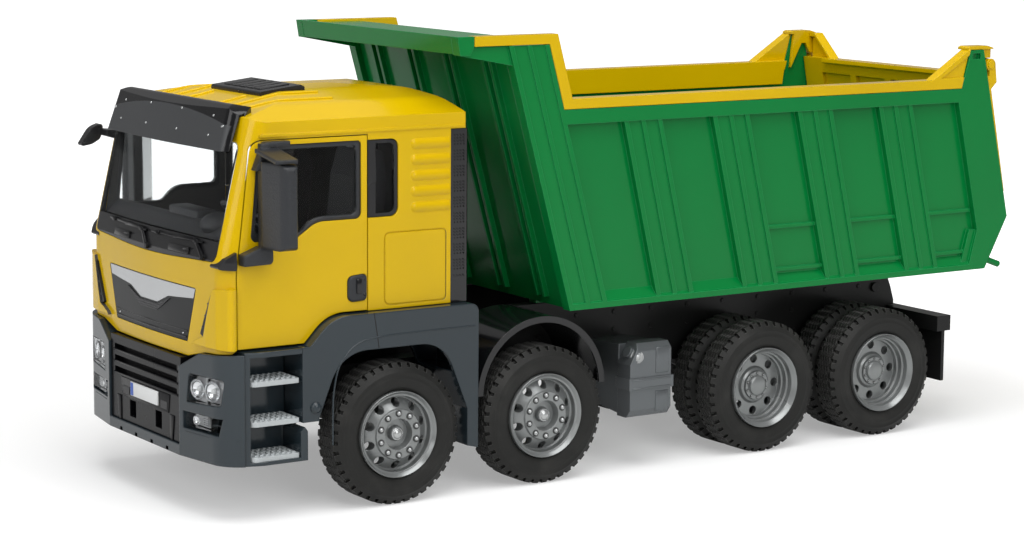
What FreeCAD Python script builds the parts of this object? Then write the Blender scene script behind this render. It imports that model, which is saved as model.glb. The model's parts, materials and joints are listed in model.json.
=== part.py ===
"""Toy four-axle tipper truck, scale 1:16, as separate solids.

Frame: +X forwards, +Y to the left side of the cab, +Z up, millimetres, origin on the floor under the
middle of the bounding box.  Every size that can be set by itself is a row of SIZES; the rest follows.
"""

import FreeCAD, Part

import math
import os

import Sketcher
from FreeCAD import Placement, Rotation, Vector

doc = FreeCAD.newDocument("tipper_truck")

# ---------------------------------------------------------------------------------------------- sizes
# alias, value, meaning
SIZES = [
    # the whole vehicle
    ("body_half", 78.0, "half width over mudguards, bumper and bed posts"),
    ("fit_gap", 0.3, "gap between pieces that sit beside each other"),
    ("run_gap", 0.05, "radial clearance of a turning fit"),
    ("skin", 2.4, "wall of the moulded shells"),
    # wheels
    ("axle_one", 142.5, "x of the first front axle"),
    ("axle_two", 60.5, "x of the second front axle"),
    ("axle_three", -73.5, "x of the first rear axle"),
    ("axle_four", -151.5, "x of the second rear axle"),
    ("tyre_radius", 33.5, "outer radius of a tyre"),
    ("tyre_seat", 20.6, "inner radius of a tyre"),
    ("rim_lip", 20.4, "outer radius of a rim"),
    ("wheel_outer", 79.8, "y of the outer face of the tyres"),
    ("single_width", 20.0, "width of a front tyre"),
    ("twin_gap", 2.6, "gap between twin tyres"),
    ("tyre_clear", 5.2, "space between the frame rails and the tyres or mudguards beside them"),
    ("axle_rod", 2.0, "radius of the axle rods"),
    # frame
    ("frame_half", 36.8, "y of the outer side of the frame rails"),
    ("frame_low", 44.0, "underside of the frame rails"),
    ("frame_high", 60.0, "upper side of the frame rails"),
    ("grille_depth", 12.0, "depth of the black middle of the bumper"),
    ("frame_rear", -195.0, "rear end of the frame rails"),
    ("rail_web", 3.0, "thickness of the rail web and flanges"),
    ("rail_flange", 11.0, "width of the rail flanges"),
    ("subframe_top", 80.0, "upper side of the tipping subframe"),
    ("subframe_front", 58.0, "front end of the tipping subframe"),
    ("hinge_x", -181.0, "x of the tipping hinge"),
    ("hinge_z", 70.6, "height of the tipping hinge"),
    ("hinge_pin", 2.5, "radius of the tipping hinge pin"),
    ("hinge_boss", 8.0, "radius of the tipping hinge bosses"),
    ("hinge_end", 11.4, "radius of the rounded subframe end"),
    # cab
    ("cab_half", 72.0, "half width of the cab"),
    ("cab_front", 232.0, "x of the cab front at the middle"),
    ("cab_length", 122.0, "length of the cab below its roof"),
    ("cab_bow", 4.0, "how far the cab front bows out at the middle"),
    ("cab_corner", 10.0, "plan radius of the front corners"),
    ("cab_low", 72.5, "lowest edge of the cab front"),
    ("cab_sill", 79.0, "lower edge of the cab sides"),
    ("cab_tail", 91.6, "lower edge of the cab behind the wheel arch"),
    ("arch_turn", 176.0, "x where the wheel arch line bends down"),
    ("arch_bend", 20.0, "radius of that bend"),
    ("arch_end", 188.0, "x where the wheel arch line meets the sill"),
    ("belt", 119.0, "height where the windscreen starts"),
    ("gutter", 174.0, "height of the roof gutter"),
    ("screen_rake", 0.238, "windscreen run back per millimetre of rise"),
    ("roof_top", 191.0, "highest point of the cab roof"),
    ("roof_edge", 181.0, "height of the roof shoulder"),
    ("roof_tail", 8.0, "how far the roof reaches back over the columns behind the cab"),
    # doors
    ("door_front", 222.0, "x of the front edge of the doors"),
    ("door_rear", 154.5, "x of the rear edge of the doors"),
    ("door_gap", 0.5, "gap round a door"),
    ("door_thick", 3.0, "thickness of a door"),
    ("door_rake", 0.147, "run back per rise of the front edge of the doors"),
    ("door_top", 173.2, "upper edge of the doors"),
    ("window_low", 134.6, "lower edge of the side windows"),
    ("window_dip", 127.4, "lower edge of the door window at its front"),
    ("window_high", 170.6, "upper edge of the side windows"),
    ("window_trim", 2.2, "width of the black window surround"),
    ("side_window_rear", 138.4, "x of the rear edge of the rear side window"),
    ("pillar", 8.0, "width of the pillars beside the windscreen"),
    ("screen_top", 171.5, "upper edge of the windscreen"),
    ("screen_dip", 2.6, "how far the lower edge of the wiper apron sags at the middle"),
    ("apron_top", 127.5, "upper edge of the wiper apron"),
    ("visor_front", 226.7, "x of the lower edge of the sun visor at the middle"),
    ("visor_half", 64.5, "half width of the sun visor"),
    ("visor_low", 167.7, "lower edge of the sun visor"),
    ("visor_rake", 0.32, "run back per rise of the sun visor"),
    # bed
    ("bed_low", 83.0, "underside of the bed"),
    ("bed_floor", 3.0, "thickness of the bed floor"),
    ("bed_wall", 2.2, "thickness of the bed walls"),
    ("rib_depth", 3.8, "how far ribs and rails stand out of the bed sides"),
    ("rail_low", 173.0, "underside of the green top rail"),
    ("rail_top", 180.0, "upper side of the green top rail"),
    ("board_top", 185.2, "upper side of the yellow side boards"),
    ("bed_front_low", 46.0, "x of the front edge of the bed at its underside"),
    ("bed_rear_low", -222.3, "x of the rear edge of the bed at its underside"),
    ("bed_rear_wide", -237.3, "x of the rearmost corner of the bed"),
    ("bed_knee", 110.4, "height of the rearmost corner of the bed"),
    ("front_rake", 0.279, "run forwards per rise of the front wall"),
    ("rib_rake", 0.241, "run forwards per rise of the ribs"),
    ("rear_rake", 0.229, "run forwards per rise of the rear edge"),
    ("front_post", 22.5, "width of the front post"),
    ("rib_first", -6.6, "x of the front edge of the first rib at the bed underside"),
    ("rib_pitch", 53.6, "distance from rib to rib"),
    ("rib_width", 22.5, "width of a rib"),
    ("post_rear_low", 12.0, "width of the rear post at its foot"),
    ("post_front_top", -200.2, "x of the front edge of the rear post at the top rail"),
    ("post_top", 200.0, "top of the rear posts"),
    ("canopy_top", 216.3, "top of the canopy over the cab"),
    ("canopy_low", 208.0, "lower edge of the canopy lip"),
    ("canopy_front", 110.2, "x of the front edge of the canopy"),
    ("canopy_plate", 213.0, "underside of the canopy plate"),
    # tailgate
    ("gate_pivot_x", -222.8, "x of the tailgate pivot"),
    ("gate_pivot_z", 192.0, "height of the tailgate pivot"),
    ("gate_pin", 1.5, "radius of the tailgate pivot pin"),
    ("gate_top", 187.4, "top edge of the tailgate between its ears"),
    ("gate_thick", 5.0, "thickness of the tailgate"),
    # front end
    ("bumper_front", 234.6, "x of the bumper front at the middle"),
    ("bumper_low", 26.5, "underside of the bumper"),
    ("bumper_rear", 220.5, "x of the rear edge of the bumper corners"),
    ("bumper_round", 16.0, "plan radius of the bumper corners"),
    ("step_flank", 2.4, "how far the front of the steps lies inside the body side"),
    ("step_rear", 183.0, "x of the rear edge of the step boxes"),
    ("step_inset", 12.0, "how far the back of the steps lies inside the cab side"),
    ("tread_thick", 2.2, "thickness of a step tread"),
    # mudguards
    ("guard_front", 192.0, "x of the front edge of the mudguards"),
    ("guard_rear", 98.0, "x of the rear edge of the mudguards"),
    ("guard_arch", 41.0, "radius of the front wheel opening"),
    ("arch_radius", 36.6, "outer radius of the second axle arches"),
    ("arch_rise", 11.3, "height of the arch centre above the wheel centre"),
    ("arch_skin", 1.6, "thickness of the second axle arches"),
    # side tanks
    ("tank_front", 9.8, "x of the front of the side tanks"),
    ("tank_length", 24.6, "length of the side tanks"),
    ("tank_low", 26.0, "underside of the side tanks"),
    ("tank_top", 62.8, "top of the side tanks"),
    ("tank_shell", 11.0, "depth of the silver outer part of the tanks"),
    # rear end
    ("beam_front", -190.0, "x of the front face of the rear beam"),
    ("beam_depth", 9.2, "depth of the rear beam"),
    ("beam_low", 51.6, "underside of the rear beam"),
    ("beam_high", 59.7, "top of the rear beam"),
    ("flap_low", 24.5, "lower edge of the mud flaps"),
    ("flap_thick", 2.0, "thickness of the mud flaps"),
    ("jaw_bore", 2.5, "radius of the tow jaw bore"),
]

sheet = doc.addObject("Spreadsheet::Sheet", "Sizes")
for row, (alias, number, meaning) in enumerate(SIZES, start=1):
    sheet.set(f"A{row}", alias)
    sheet.set(f"B{row}", str(number))
    sheet.set(f"C{row}", meaning)
    sheet.setAlias(f"B{row}", alias)
doc.recompute()


class Size:
    """A number together with the sheet expression that gives it."""

    def __init__(self, value, text):
        self.value = float(value)
        self.text = text

    def __add__(self, other):
        other = size(other)
        return Size(self.value + other.value, f"({self.text} + {other.text})")

    def __sub__(self, other):
        other = size(other)
        return Size(self.value - other.value, f"({self.text} - {other.text})")

    def __mul__(self, other):
        other = size(other)
        return Size(self.value * other.value, f"({self.text} * {other.text})")

    def __truediv__(self, other):
        other = size(other)
        return Size(self.value / other.value, f"({self.text} / {other.text})")

    def __neg__(self):
        return Size(-self.value, f"(-({self.text}))")

    def __rsub__(self, other):
        return size(other) - self

    __radd__ = __add__
    __rmul__ = __mul__


def size(number):
    """A plain number or a Size, as a Size."""
    return number if isinstance(number, Size) else Size(number, f"{float(number):.6f}")


class Sheet:
    """The rows of the size table by name."""

    def __getattr__(self, alias):
        return Size(sheet.get(alias), f"Sizes.{alias}")


S = Sheet()
nodes = []


# -------------------------------------------------------------------------------------------- helpers
def bind(thing, path, amount):
    """Tie one property of an object to the sheet."""
    thing.setExpression(path, size(amount).text)


def keep(thing, label):
    """Give a finished sub-part its name and put it on the list of nodes."""
    thing.Label = label
    if thing.Label != label:
        raise ValueError(f"the name {label} is taken")
    nodes.append(thing)
    return thing


def origin_plane(body, name):
    for feature in body.Origin.OriginFeatures:
        if feature.Role == name + "_Plane":
            return feature
    raise ValueError(name)


def pin_point(sketch, geo, pos, across, up):
    """Hold a point of a sketch at its place from the sketch's origin."""
    for kind, axis, amount in (("DistanceX", -2, across), ("DistanceY", -1, up)):
        amount = size(amount)
        if amount.text == "0.000000":
            sketch.addConstraint(Sketcher.Constraint("PointOnObject", geo, pos, axis))
            continue
        index = sketch.addConstraint(Sketcher.Constraint(kind, -1, 1, geo, pos, amount.value))
        sketch.setExpression(f"Constraints[{index}]", amount.text)


def rounded(before, corner, after, radius):
    """Where an arc of this radius leaves and meets the two straight sides of a corner."""
    to_before = (before - corner).normalize()
    to_after = (after - corner).normalize()
    half = to_before.getAngle(to_after) / 2
    reach = radius / math.tan(half)
    middle = corner + (to_before + to_after).normalize() * (radius / math.sin(half))
    return corner + to_before * reach, corner + to_after * reach, middle


def add_outline(sketch, corners):
    """A closed outline through corners (across, up) or (across, up, radius)."""
    spots = [Vector(size(c[0]).value, size(c[1]).value, 0) for c in corners]
    count = len(corners)
    starts, ends, arcs = [], [], []
    for i, corner in enumerate(corners):
        start = end = spots[i]
        arc = None
        if len(corner) > 2:
            radius = size(corner[2]).value
            start, end, middle = rounded(spots[i - 1], spots[i], spots[(i + 1) % count], radius)
            turn = (start - middle).cross(end - middle).z
            first, last = (start, end) if turn > 0 else (end, start)
            circle = Part.Circle(middle, Vector(0, 0, 1), radius)
            arc = Part.ArcOfCircle(circle, circle.parameter(first), circle.parameter(last))
            arc = (arc, 1 if turn > 0 else 2)
        starts.append(start)
        ends.append(end)
        arcs.append(arc)
    lines = [
        sketch.addGeometry(Part.LineSegment(ends[i], starts[(i + 1) % count]), False)
        for i in range(count)
    ]
    for i, corner in enumerate(corners):
        before, after = lines[i - 1], lines[i]
        if arcs[i] is None:
            sketch.addConstraint(Sketcher.Constraint("Coincident", before, 2, after, 1))
            pin_point(sketch, after, 1, corner[0], corner[1])
            continue
        arc, near = arcs[i]
        bend = sketch.addGeometry(arc, False)
        tip = sketch.addGeometry(Part.Point(spots[i]), True)
        sketch.addConstraint(Sketcher.Constraint("Tangent", before, 2, bend, near))
        sketch.addConstraint(Sketcher.Constraint("Tangent", bend, 3 - near, after, 1))
        sketch.addConstraint(Sketcher.Constraint("PointOnObject", tip, 1, before))
        sketch.addConstraint(Sketcher.Constraint("PointOnObject", tip, 1, after))
        radius = size(corner[2])
        index = sketch.addConstraint(Sketcher.Constraint("Radius", bend, radius.value))
        sketch.setExpression(f"Constraints[{index}]", radius.text)
        pin_point(sketch, tip, 1, corner[0], corner[1])


def draw(body, plane, outlines=(), circles=(), at=0):
    """A sketch on an origin plane of the body, moved along the plane's normal."""
    sketch = body.newObject("Sketcher::SketchObject", body.Name + "_sketch")
    sketch.AttachmentSupport = [(origin_plane(body, plane), "")]
    sketch.MapMode = "FlatFace"
    sketch.AttachmentOffset = Placement(Vector(0, 0, size(at).value), Rotation())
    bind(sketch, "AttachmentOffset.Base.z", at)
    for corners in outlines:
        add_outline(sketch, corners)
    for across, up, radius in circles:
        radius = size(radius)
        middle = Vector(size(across).value, size(up).value, 0)
        geo = sketch.addGeometry(Part.Circle(middle, Vector(0, 0, 1), radius.value), False)
        index = sketch.addConstraint(Sketcher.Constraint("Radius", geo, radius.value))
        sketch.setExpression(f"Constraints[{index}]", radius.text)
        pin_point(sketch, geo, 3, across, up)
    return sketch


def new_body(name):
    body = doc.addObject("PartDesign::Body", name)
    body.Label = name
    return body


def add(body, kind, profile, **values):
    """One more feature on a body; it becomes the body's tip."""
    feature = body.newObject("PartDesign::" + kind, body.Name + "_" + kind.lower())
    feature.Profile = profile
    for path, amount in values.items():
        if isinstance(amount, (bool, str, tuple, list)):
            setattr(feature, path, amount)
        else:
            setattr(feature, path, size(amount).value)
            bind(feature, path, amount)
    body.Tip = feature
    return feature


def prism(name, plane, low, high, outlines=(), circles=()):
    """A body of one outline, reaching from low to high across its plane."""
    body = new_body(name + "_form")
    low, high = size(low), size(high)
    at = -high if plane == "XZ" else low
    profile = draw(body, plane, outlines, circles, at)
    add(body, "Pad", profile, Length=high - low)
    return body


def turned(name, outline, x=0, y=0, z=0, flip=False):
    """A body turned about its own Y axis from an outline of (radius, y), set down at a place."""
    body = new_body(name + "_form")
    profile = draw(body, "XY", [outline])
    add(body, "Revolution", profile, ReferenceAxis=(profile, ["V_Axis"]), Angle=360)
    set_down(body, x, y, z, flip)
    return body


def set_down(thing, x=0, y=0, z=0, flip=False):
    """Place a body; flip turns it half round so that its +Y side faces -Y."""
    turn = Rotation(Vector(0, 0, 1), 180 if flip else 0)
    thing.Placement = Placement(Vector(size(x).value, size(y).value, size(z).value), turn)
    for axis, amount in (("x", x), ("y", y), ("z", z)):
        bind(thing, "Placement.Base." + axis, amount)


def box(name, x, y, z):
    """A Part box between pairs of limits."""
    block = doc.addObject("Part::Box", name)
    for path, (low, high) in (("Length", x), ("Width", y), ("Height", z)):
        bind(block, path, size(high) - low)
    for axis, (low, high) in (("x", x), ("y", y), ("z", z)):
        bind(block, "Placement.Base." + axis, low)
    return block


def rod(name, radius, x, z, low, high):
    """A Part cylinder along Y between two y values."""
    bar = doc.addObject("Part::Cylinder", name)
    bind(bar, "Radius", radius)
    bind(bar, "Height", size(high) - low)
    bar.Placement = Placement(Vector(size(x).value, size(high).value, size(z).value),
                              Rotation(Vector(1, 0, 0), 90))
    for axis, amount in (("x", x), ("y", high), ("z", z)):
        bind(bar, "Placement.Base." + axis, amount)
    return bar


def cut(name, base, *tools):
    for tool in tools:
        step = doc.addObject("Part::Cut", name + "_less_" + tool.Name)
        step.Base, step.Tool = base, tool
        step.Refine = True
        base = step
    return base


def fuse(name, *pieces):
    joined = doc.addObject("Part::MultiFuse", name + "_whole")
    joined.Shapes = list(pieces)
    joined.Refine = True
    return joined


def common(name, base, tool):
    shared = doc.addObject("Part::Common", name)
    shared.Base, shared.Tool = base, tool
    shared.Refine = True
    return shared


def mirrored(name, piece):
    """The same piece on the other side of the vehicle."""
    other = doc.addObject("Part::Mirroring", name + "_mirrored")
    other.Source = piece
    other.Normal = Vector(0, 1, 0)
    return other


def group(name, *pieces):
    """Like pieces that don't touch, kept in one node."""
    bundle = doc.addObject("Part::Compound", name + "_set")
    bundle.Links = list(pieces)
    return bundle


def both_sides(name, piece):
    return group(name, piece, mirrored(name + "_other", piece))


# the hoist: where its base pivot and its eye lie at rest, (x, z)
HOIST_BASE = (S.hinge_x + 51, S.frame_high - 9)
HOIST_EYE = (S.hinge_x + 141, S.bed_low - 6)


def twin_width():
    """Width of each twin tyre: the pair fills the space between the frame and the wheel's outer face."""
    return (S.wheel_outer - S.frame_half - S.tyre_clear - S.twin_gap) / 2


def guard_inner():
    """y of the inner side of the mudguards."""
    return S.frame_half + S.tyre_clear


def screen_half():
    """Half width of the windscreen opening."""
    return S.cab_half - S.pillar


def grille_rear():
    """x of the rear face of the black middle of the bumper."""
    return S.bumper_front - 1.2 - S.grille_depth


# --------------------------------------------------------------------------------------------- wheels
AXLES = [
    # name, x, twin tyres
    ("one", S.axle_one, False),
    ("two", S.axle_two, False),
    ("three", S.axle_three, True),
    ("four", S.axle_four, True),
]
# y of the parts of a rim, from the outer face of its tyre
FRONT_RIM = dict(cap=-1.6, recess=-4.6, ring=-0.4, foot=-1.4, face=-5.2, holes=10, hole_radius=2.1,
                 hole_circle=14.8)
REAR_RIM = dict(cap=-6.3, ring=-7.2, foot=-8.4, face=-10.4, holes=8, hole_radius=2.2, hole_circle=13.4)


def tyre_section(outer, width):
    """Half section of a tyre from its outer face inwards: tread, shoulders, side walls and bead."""
    inner = outer - width
    tread = S.tyre_radius
    return [
        (S.tyre_seat, outer - 1.6),
        (S.tyre_seat + 4.5, outer, 3),
        (tread - 3.0, outer - 0.9),
        (tread, outer - 2.8),
        (tread, inner + 2.8),
        (tread - 3.0, inner + 0.9),
        (S.tyre_seat + 4.5, inner, 3),
        (S.tyre_seat, inner + 1.6),
    ]


def front_hub(shape):
    """Hub of a front rim: a cap in a recess, the flat ring for the nuts, and the cone with the holes."""
    cap, recess, ring, foot, face = (shape[key] for key in ("cap", "recess", "ring", "foot", "face"))
    return [
        (2.9, cap), (3.5, cap - 0.8), (3.7, recess), (6.7, recess), (7.4, ring), (11.6, ring),
        (12.1, foot), (S.rim_lip - 3.4, face), (S.rim_lip - 2.6, face + 0.6), (S.rim_lip - 2.4, -1.6),
    ]


def rear_hub(shape):
    """Hub of a rear rim: a domed disc on a cone, and the stepped dish round it."""
    cap, ring, foot, face = (shape[key] for key in ("cap", "ring", "foot", "face"))
    return [
        (4.4, cap), (5.0, ring), (7.2, ring), (7.4, foot), (8.6, foot - 0.6), (9.6, face),
        (S.rim_lip - 4.4, face), (S.rim_lip - 4.2, face + 2.4), (S.rim_lip - 3.4, face + 2.6),
        (S.rim_lip - 3.2, face + 5.4), (S.rim_lip - 2.4, face + 5.6), (S.rim_lip - 2.2, -2.0),
    ]


def rim_section(shape, width):
    """Half section of a rim, y measured from the tyre's outer face."""
    face = shape["face"]
    well = S.rim_lip - 2.0
    bore = S.axle_rod + S.run_gap
    hub = front_hub(shape) if "recess" in shape else rear_hub(shape)
    return [
        (bore, shape["cap"] - 0.5), *hub,
        (well + 0.4, -1.4),
        (well + 1.3, -0.3),
        (S.rim_lip - 0.2, 0.3),
        (S.rim_lip, 0.0),
        (S.rim_lip, 1.0 - width),
        (well, 1.0 - width),
        (well, face - 2.4),
        (6.4, face - 2.4),
        (6.4, 3.0 - width),
        (bore, 3.0 - width),
    ]


def wheel(axle, x, twin, side, flip):
    """A rim with its ring of hand holes, and one tyre or two."""
    place = dict(x=x, y=-S.wheel_outer if flip else S.wheel_outer, z=S.tyre_radius, flip=flip)
    shape = REAR_RIM if twin else FRONT_RIM
    width = twin_width() * 2 + S.twin_gap if twin else S.single_width
    rim = turned(f"rim_{axle}_{side}", rim_section(shape, width), **place)
    profile = draw(rim, "XZ", circles=[(0, shape["hole_circle"], shape["hole_radius"])])
    hole = add(rim, "Pocket", profile, Type="ThroughAll", Midplane=True)
    holes = rim.newObject("PartDesign::PolarPattern", rim.Name + "_holes")
    holes.Originals = [hole]
    holes.Axis = (profile, ["N_Axis"])
    holes.Angle = 360
    holes.Occurrences = shape["holes"]
    rim.Tip = holes
    keep(rim, f"rim_{axle}_{side}")
    outer = turned(f"tyre_{axle}_{side}", tyre_section(size(0), twin_width() if twin else S.single_width),
                   **place)
    if not twin:
        keep(outer, f"tyre_{axle}_{side}")
        return
    second = turned(f"inner_tyre_{axle}_{side}",
                    tyre_section(-(twin_width() + S.twin_gap), twin_width()), **place)
    keep(group(f"tyres_{axle}_{side}", outer, second), f"tyres_{axle}_{side}")


for axle, x, twin in AXLES:
    wheel(axle, x, twin, "left", False)
    wheel(axle, x, twin, "right", True)


# -------------------------------------------------------------------------------- frame and running gear
def chassis_frame():
    """Two channel rails with cross members, the tipping subframe with its rounded rear end, and pins."""
    outer = S.frame_half
    web = outer - S.rail_web
    inner = outer - S.rail_flange
    channel = prism("rail", "YZ", S.beam_front + S.fit_gap, grille_rear() - S.fit_gap, [[
        (outer, S.frame_low), (outer, S.frame_high), (inner, S.frame_high),
        (inner, S.frame_high - S.rail_web), (web, S.frame_high - S.rail_web),
        (web, S.frame_low + S.rail_web), (inner, S.frame_low + S.rail_web), (inner, S.frame_low),
    ]])
    side = prism("subframe_side", "XZ", outer - S.rail_web * 2, outer, [[
        (S.frame_rear, S.frame_high), (S.subframe_front, S.frame_high),
        (S.subframe_front, S.subframe_top, 4), (S.hinge_x + S.hinge_end, S.subframe_top),
        (S.hinge_x, S.hinge_z + S.hinge_end),
        (S.hinge_x - S.hinge_end * 0.72, S.hinge_z + S.hinge_end * 0.68),
        (S.hinge_x - S.hinge_end, S.hinge_z), (S.frame_rear, S.hinge_z - S.hinge_boss),
    ]])
    pin = rod("hinge_pin_rod", S.hinge_pin, S.hinge_x, S.hinge_z,
              outer - S.rail_web * 2 - 7.0, outer + 1.4)
    half = fuse("frame_half_side", channel, side, pin)
    members = [rod("hoist_shaft", 2.2, HOIST_BASE[0], HOIST_BASE[1], -web - 0.5, web + 0.5)]
    for number, x in enumerate((S.beam_front + 5, S.axle_three + 40, S.axle_two + 10, S.axle_one + 38)):
        members.append(box(f"cross_member_{number}", (x - 4, x + 4), (-inner - 1, inner + 1),
                           (S.frame_low + 1.0, S.frame_high - S.rail_web - 0.5)))
    keep(fuse("chassis_frame", half, mirrored("frame_other_side", half), *members), "chassis_frame")


def axle_rods():
    """Each axle: a rod through both wheels in a moulded beam hung from the rails."""
    pieces = []
    for axle, x, twin in AXLES:
        width = twin_width() * 2 + S.twin_gap if twin else S.single_width
        stub = S.wheel_outer - width
        tip = S.wheel_outer + (REAR_RIM if twin else FRONT_RIM)["cap"] - 0.8
        shaft = rod(f"axle_{axle}_rod", S.axle_rod, x, S.tyre_radius, -tip + 0.4, tip - 0.4)
        beam = box(f"axle_{axle}_beam", (x - 4, x + 4), (-stub + 1.4, stub - 1.4),
                   (S.tyre_radius - 4, S.tyre_radius + 4))
        spring = prism(f"axle_{axle}_spring", "XZ", S.frame_half - 8, S.frame_half - 2, [[
            (x - 24, S.frame_low), (x - 24, S.frame_low - 3), (x - 7, S.tyre_radius - 1),
            (x + 7, S.tyre_radius - 1), (x + 24, S.frame_low - 3), (x + 24, S.frame_low),
        ]])
        joined = [shaft, beam, spring, mirrored(f"axle_{axle}_spring_other", spring)]
        if twin:
            case = doc.addObject("Part::Sphere", f"axle_{axle}_case")
            bind(case, "Radius", S.tyre_radius * 0.3)
            bind(case, "Placement.Base.x", x)
            bind(case, "Placement.Base.z", S.tyre_radius)
            joined.append(case)
        pieces.append(fuse(f"axle_{axle}", *joined))
    keep(group("axles", *pieces), "axles")


def rear_beam():
    """Rear cross beam with the mud flaps, lamp boxes and the tow jaw."""
    front, rear = S.beam_front, S.beam_front - S.beam_depth
    half = S.body_half
    beam = box("beam_bar", (rear, front), (-half, half), (S.beam_low, S.beam_high))
    flap = box("flap", (rear + 3, rear + 3 + S.flap_thick), (S.frame_half + 6, half - 1),
               (S.flap_low, S.beam_low + 1))
    jaw = prism("jaw", "XY", S.beam_low - 5, S.beam_low + 1, [[
        (front, -8), (front, 8), (rear, 8), (rear - 9, 6, 5), (rear - 9, -6, 5), (rear, -8),
    ]], [(rear - 3.4, 0, S.jaw_bore)])
    keep(fuse("rear_beam", beam, flap, mirrored("flap_other", flap), jaw), "rear_beam")


def tail_lamps():
    """A red lamp at each end of the rear beam."""
    rear = S.beam_front - S.beam_depth
    lamp = box("lamp", (rear - 1.2, rear), (S.body_half - 26, S.body_half - 6),
               (S.beam_low + 1.5, S.beam_high - 1.5))
    keep(both_sides("tail_lamps", lamp), "tail_lamps")


def engine_block():
    """The plain engine and gearbox between the front axles."""
    block = box("engine_body", (S.axle_one - 34, S.axle_one + 30), (-20, 20),
                (S.frame_low + 1, S.cab_tail - 4))
    gearbox = box(
        "gearbox", (S.axle_one - 62, S.axle_one - 34), (-13, 13), (S.frame_low + 3, S.frame_high + 8),
    )
    mounts = box("engine_mounts", (S.axle_one - 20, S.axle_one - 8),
                 (S.rail_flange - S.frame_half + S.fit_gap, S.frame_half - S.rail_flange - S.fit_gap),
                 (S.frame_high - S.rail_web, S.frame_high))
    keep(fuse("engine_block", block, gearbox, mounts), "engine_block")


def second_arches():
    """Thin arches over the second axle with a double lip, hung from the frame rails."""
    x, z = S.axle_two, S.tyre_radius + S.arch_rise
    inner = S.frame_half
    outer = S.body_half - 2
    shell = prism("arch_shell", "XZ", inner, outer, circles=[(x, z, S.arch_radius),
                                                             (x, z, S.arch_radius - S.arch_skin)])
    lip = prism("arch_lip", "XZ", outer - 1.2, outer, circles=[(x, z, S.arch_radius),
                                                             (x, z, S.arch_radius - S.arch_skin * 2)])
    below = box("arch_below", (x - 60, x + 60), (0, 100), (-10, z + 1))
    arch = cut("arch", fuse("arch_ring", shell, lip), below)
    keep(both_sides("axle_arches", arch), "axle_arches")


def side_tanks():
    """A black tank body against the rail with a silver outer half, its belt and filler neck."""
    front, rear = S.tank_front, S.tank_front - S.tank_length
    outer = S.body_half
    split = outer - S.tank_shell
    body = prism("tank_black", "YZ", rear + 0.6, front - 0.6, [[
        (S.frame_half, S.tank_low + 4), (split, S.tank_low + 1), (split, S.tank_top - 1),
        (S.frame_half, S.frame_high),
    ]])
    keep(both_sides("tank_bodies", body), "tank_bodies")
    shell = prism("tank_silver", "YZ", rear, front, [[
        (split, S.tank_low), (outer - 3, S.tank_low, 2), (outer, S.tank_low + 4), (outer, S.tank_top - 3, 2),
        (outer - 3, S.tank_top), (split, S.tank_top),
    ]])
    notch = prism("tank_chamfer", "XZ", 0, 100, [[
        (front + 1, S.tank_top - 12), (front + 1, S.tank_top + 1), (front - 6, S.tank_top + 1),
    ]])
    belt = box("tank_belt", (rear - 1, front + 1), (split, outer + 0.9), (S.tank_low + 14, S.tank_low + 20))
    neck = doc.addObject("Part::Cylinder", "tank_neck")
    bind(neck, "Radius", 3)
    bind(neck, "Height", 4)
    neck.Placement = Placement(Vector(0, 0, 0), Rotation(Vector(0, 1, 0), 60))
    bind(neck, "Placement.Base.x", front - 5)
    bind(neck, "Placement.Base.y", outer - 5.5)
    bind(neck, "Placement.Base.z", S.tank_top - 6)
    tank = fuse("tank_shell", cut("tank_cut", shell, notch), belt, neck)
    keep(both_sides("side_tanks", tank), "side_tanks")


def mudguards():
    """Blue-grey mudguards over the first axle, open inside and joined to the step boxes."""
    x, z = S.axle_one, S.tyre_radius
    outer = S.body_half
    front, rear = S.guard_front, S.guard_rear
    top, sill = S.cab_tail - S.fit_gap, S.cab_sill - S.fit_gap
    outline = [
        (rear, 22), (rear, top, 4), (S.arch_turn, top, S.arch_bend), (S.arch_end, sill), (front, sill),
        (front, 44), (front - 8, 44),
    ]
    solid = prism("guard_block", "XZ", guard_inner(), outer, [outline])
    opening = prism("guard_opening", "XZ", 0, outer + 1, [[
        (rear + 6, 10), (rear + 6, z + 8), (x - S.guard_arch * 0.62, z + S.guard_arch, 18),
        (x + S.guard_arch * 0.72, z + S.guard_arch, 20), (x + S.guard_arch, z + 12), (x + S.guard_arch, 10),
    ]])
    hollow = prism("guard_hollow", "XZ", guard_inner() + 2, outer - S.skin, [[
        (rear + 2.4, z + 26), (rear + 2.4, top - 5), (x + 24, top - S.skin), (front - 9, sill - 6),
        (front - 2.4, 60), (x, 60),
    ]])
    guard = cut("guard", solid, opening, hollow)
    keep(both_sides("mudguards", guard), "mudguards")


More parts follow.
